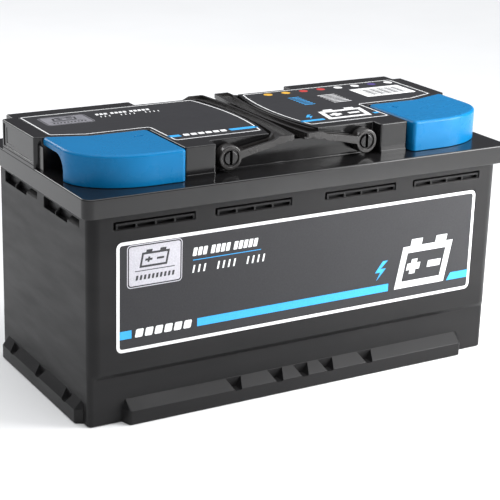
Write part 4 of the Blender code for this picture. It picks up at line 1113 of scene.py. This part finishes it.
def finish_inner_nodes():
    """The pieces inside the case keep their CAD shape and get their real finish."""
    slots = {part["node"]: part["material_slot"] for part in frame["record"]["subparts"]}
    for name, node in frame["nodes"].items():
        if not node.hide_render:
            node.data.materials.clear()
            node.data.materials.append(MATERIALS[slots[name]])


# ---------------------------------------------------------------- stage, light and camera

AIM = Vector((-1.1, -4.1, 82.7)) * MM
AZIMUTH = 30.8                       # degrees to the left of straight in front
ELEVATION = 18.6
ROLL = 1.67
DISTANCE = mm(1168)
FOCAL = 3.046                        # focal length as a multiple of the picture's width


def looking_at(target, distance, azimuth, elevation, roll=0.0):
    """Placement of a camera or lamp that looks at the target from a direction."""
    a, e, r = (math.radians(value) for value in (azimuth, elevation, roll))
    back = Vector((-math.sin(a) * math.cos(e), -math.cos(a) * math.cos(e), math.sin(e)))
    level = Vector((math.cos(a), -math.sin(a), 0))
    upright = back.cross(level)
    right = level * math.cos(r) + upright * math.sin(r)
    up = upright * math.cos(r) - level * math.sin(r)
    return Matrix.Translation(target + back * distance) @ Matrix((right, up, back)).transposed().to_4x4()


def build_camera():
    data = bpy.data.cameras.new("camera")
    camera = placed("camera", data)
    camera.matrix_world = looking_at(AIM, DISTANCE, AZIMUTH, ELEVATION, ROLL)
    data.sensor_width = 36
    data.lens = data.sensor_width * FOCAL
    data.clip_start = mm(10)
    bpy.context.scene.camera = camera


def soft_box(name, azimuth, elevation, distance, size, power, target=AIM):
    data = bpy.data.lights.new(name, "AREA")
    data.shape = "RECTANGLE"
    data.size, data.size_y = size
    data.energy = power
    placed(name, data).matrix_world = looking_at(target, distance, azimuth, elevation)


def build_world():
    """A studio ceiling that is bright overhead and dim towards the walls; the backdrop itself is white."""
    world = bpy.data.worlds.new("studio")
    world.use_nodes = True
    bpy.context.scene.world = world
    tree = world.node_tree
    direction = tree.nodes.new("ShaderNodeTexCoord")
    height = add_node(tree, "SeparateXYZ", {"Vector": direction.outputs["Generated"]}).outputs["Z"]
    ceiling = tree.nodes["Background"]
    shade = blend_colours(tree, height, (0.13, 0.13, 0.14), (0.90, 0.92, 0.95), 0.36, 0.74)
    wire(tree, ceiling, {"Color": shade})
    backdrop = add_node(tree, "Background", {"Color": (1, 1, 1, 1)})
    rays = tree.nodes.new("ShaderNodeLightPath")
    choice = add_node(tree, "MixShader", {"Fac": rays.outputs["Is Camera Ray"]})
    tree.links.new(ceiling.outputs["Background"], choice.inputs[1])
    tree.links.new(backdrop.outputs["Background"], choice.inputs[2])
    wire(tree, tree.nodes["World Output"], {"Surface": choice.outputs["Shader"]})


def build_lights():
    """A broad lamp overhead, softboxes at the front right, low and high, one behind, one over the table."""
    overhead = bpy.data.lights.new("overhead", "SUN")
    overhead.energy = 1.2
    overhead.angle = math.radians(60)
    placed("overhead", overhead).rotation_euler.x = math.radians(14)
    soft_box("key", -50, 18, 0.62, (0.35, 0.35), 4.5)
    soft_box("table", 0, 90, 0.4, (0.3, 0.3), 4, Vector((0.58, -0.48, 0)))
    soft_box("upper", -57, 55, 1.2, (0.5, 0.5), 3)
    soft_box("rim", 157, 30, 1.3, (0.5, 0.5), 4.5)


def build_stage():
    bm = bmesh.new()
    bmesh.ops.create_grid(bm, x_segments=1, y_segments=1, size=30)
    floor = object_from(bm, "floor")
    floor.location.z = mm(-0.2)
    material, tree, shader = node_material("floor_paper")
    paper = blend_colours(tree, noise(tree, 6, 3), (0.83, 0.83, 0.83), (0.85, 0.85, 0.85))
    wire(tree, shader, {"Base Color": paper, "Roughness": 0.9, "Specular IOR Level": 0.1})
    floor.data.materials.append(material)
    bpy.context.scene.view_settings.view_transform = "Standard"


build_case()
build_lid()
for side in SIDE_NAMES:
    build_handle(side)
    build_cover(side)
build_pivot_pins()
build_terminals()
build_front_label()
build_top_films()
build_top_print()
finish_inner_nodes()
build_stage()
build_world()
build_lights()
build_camera()
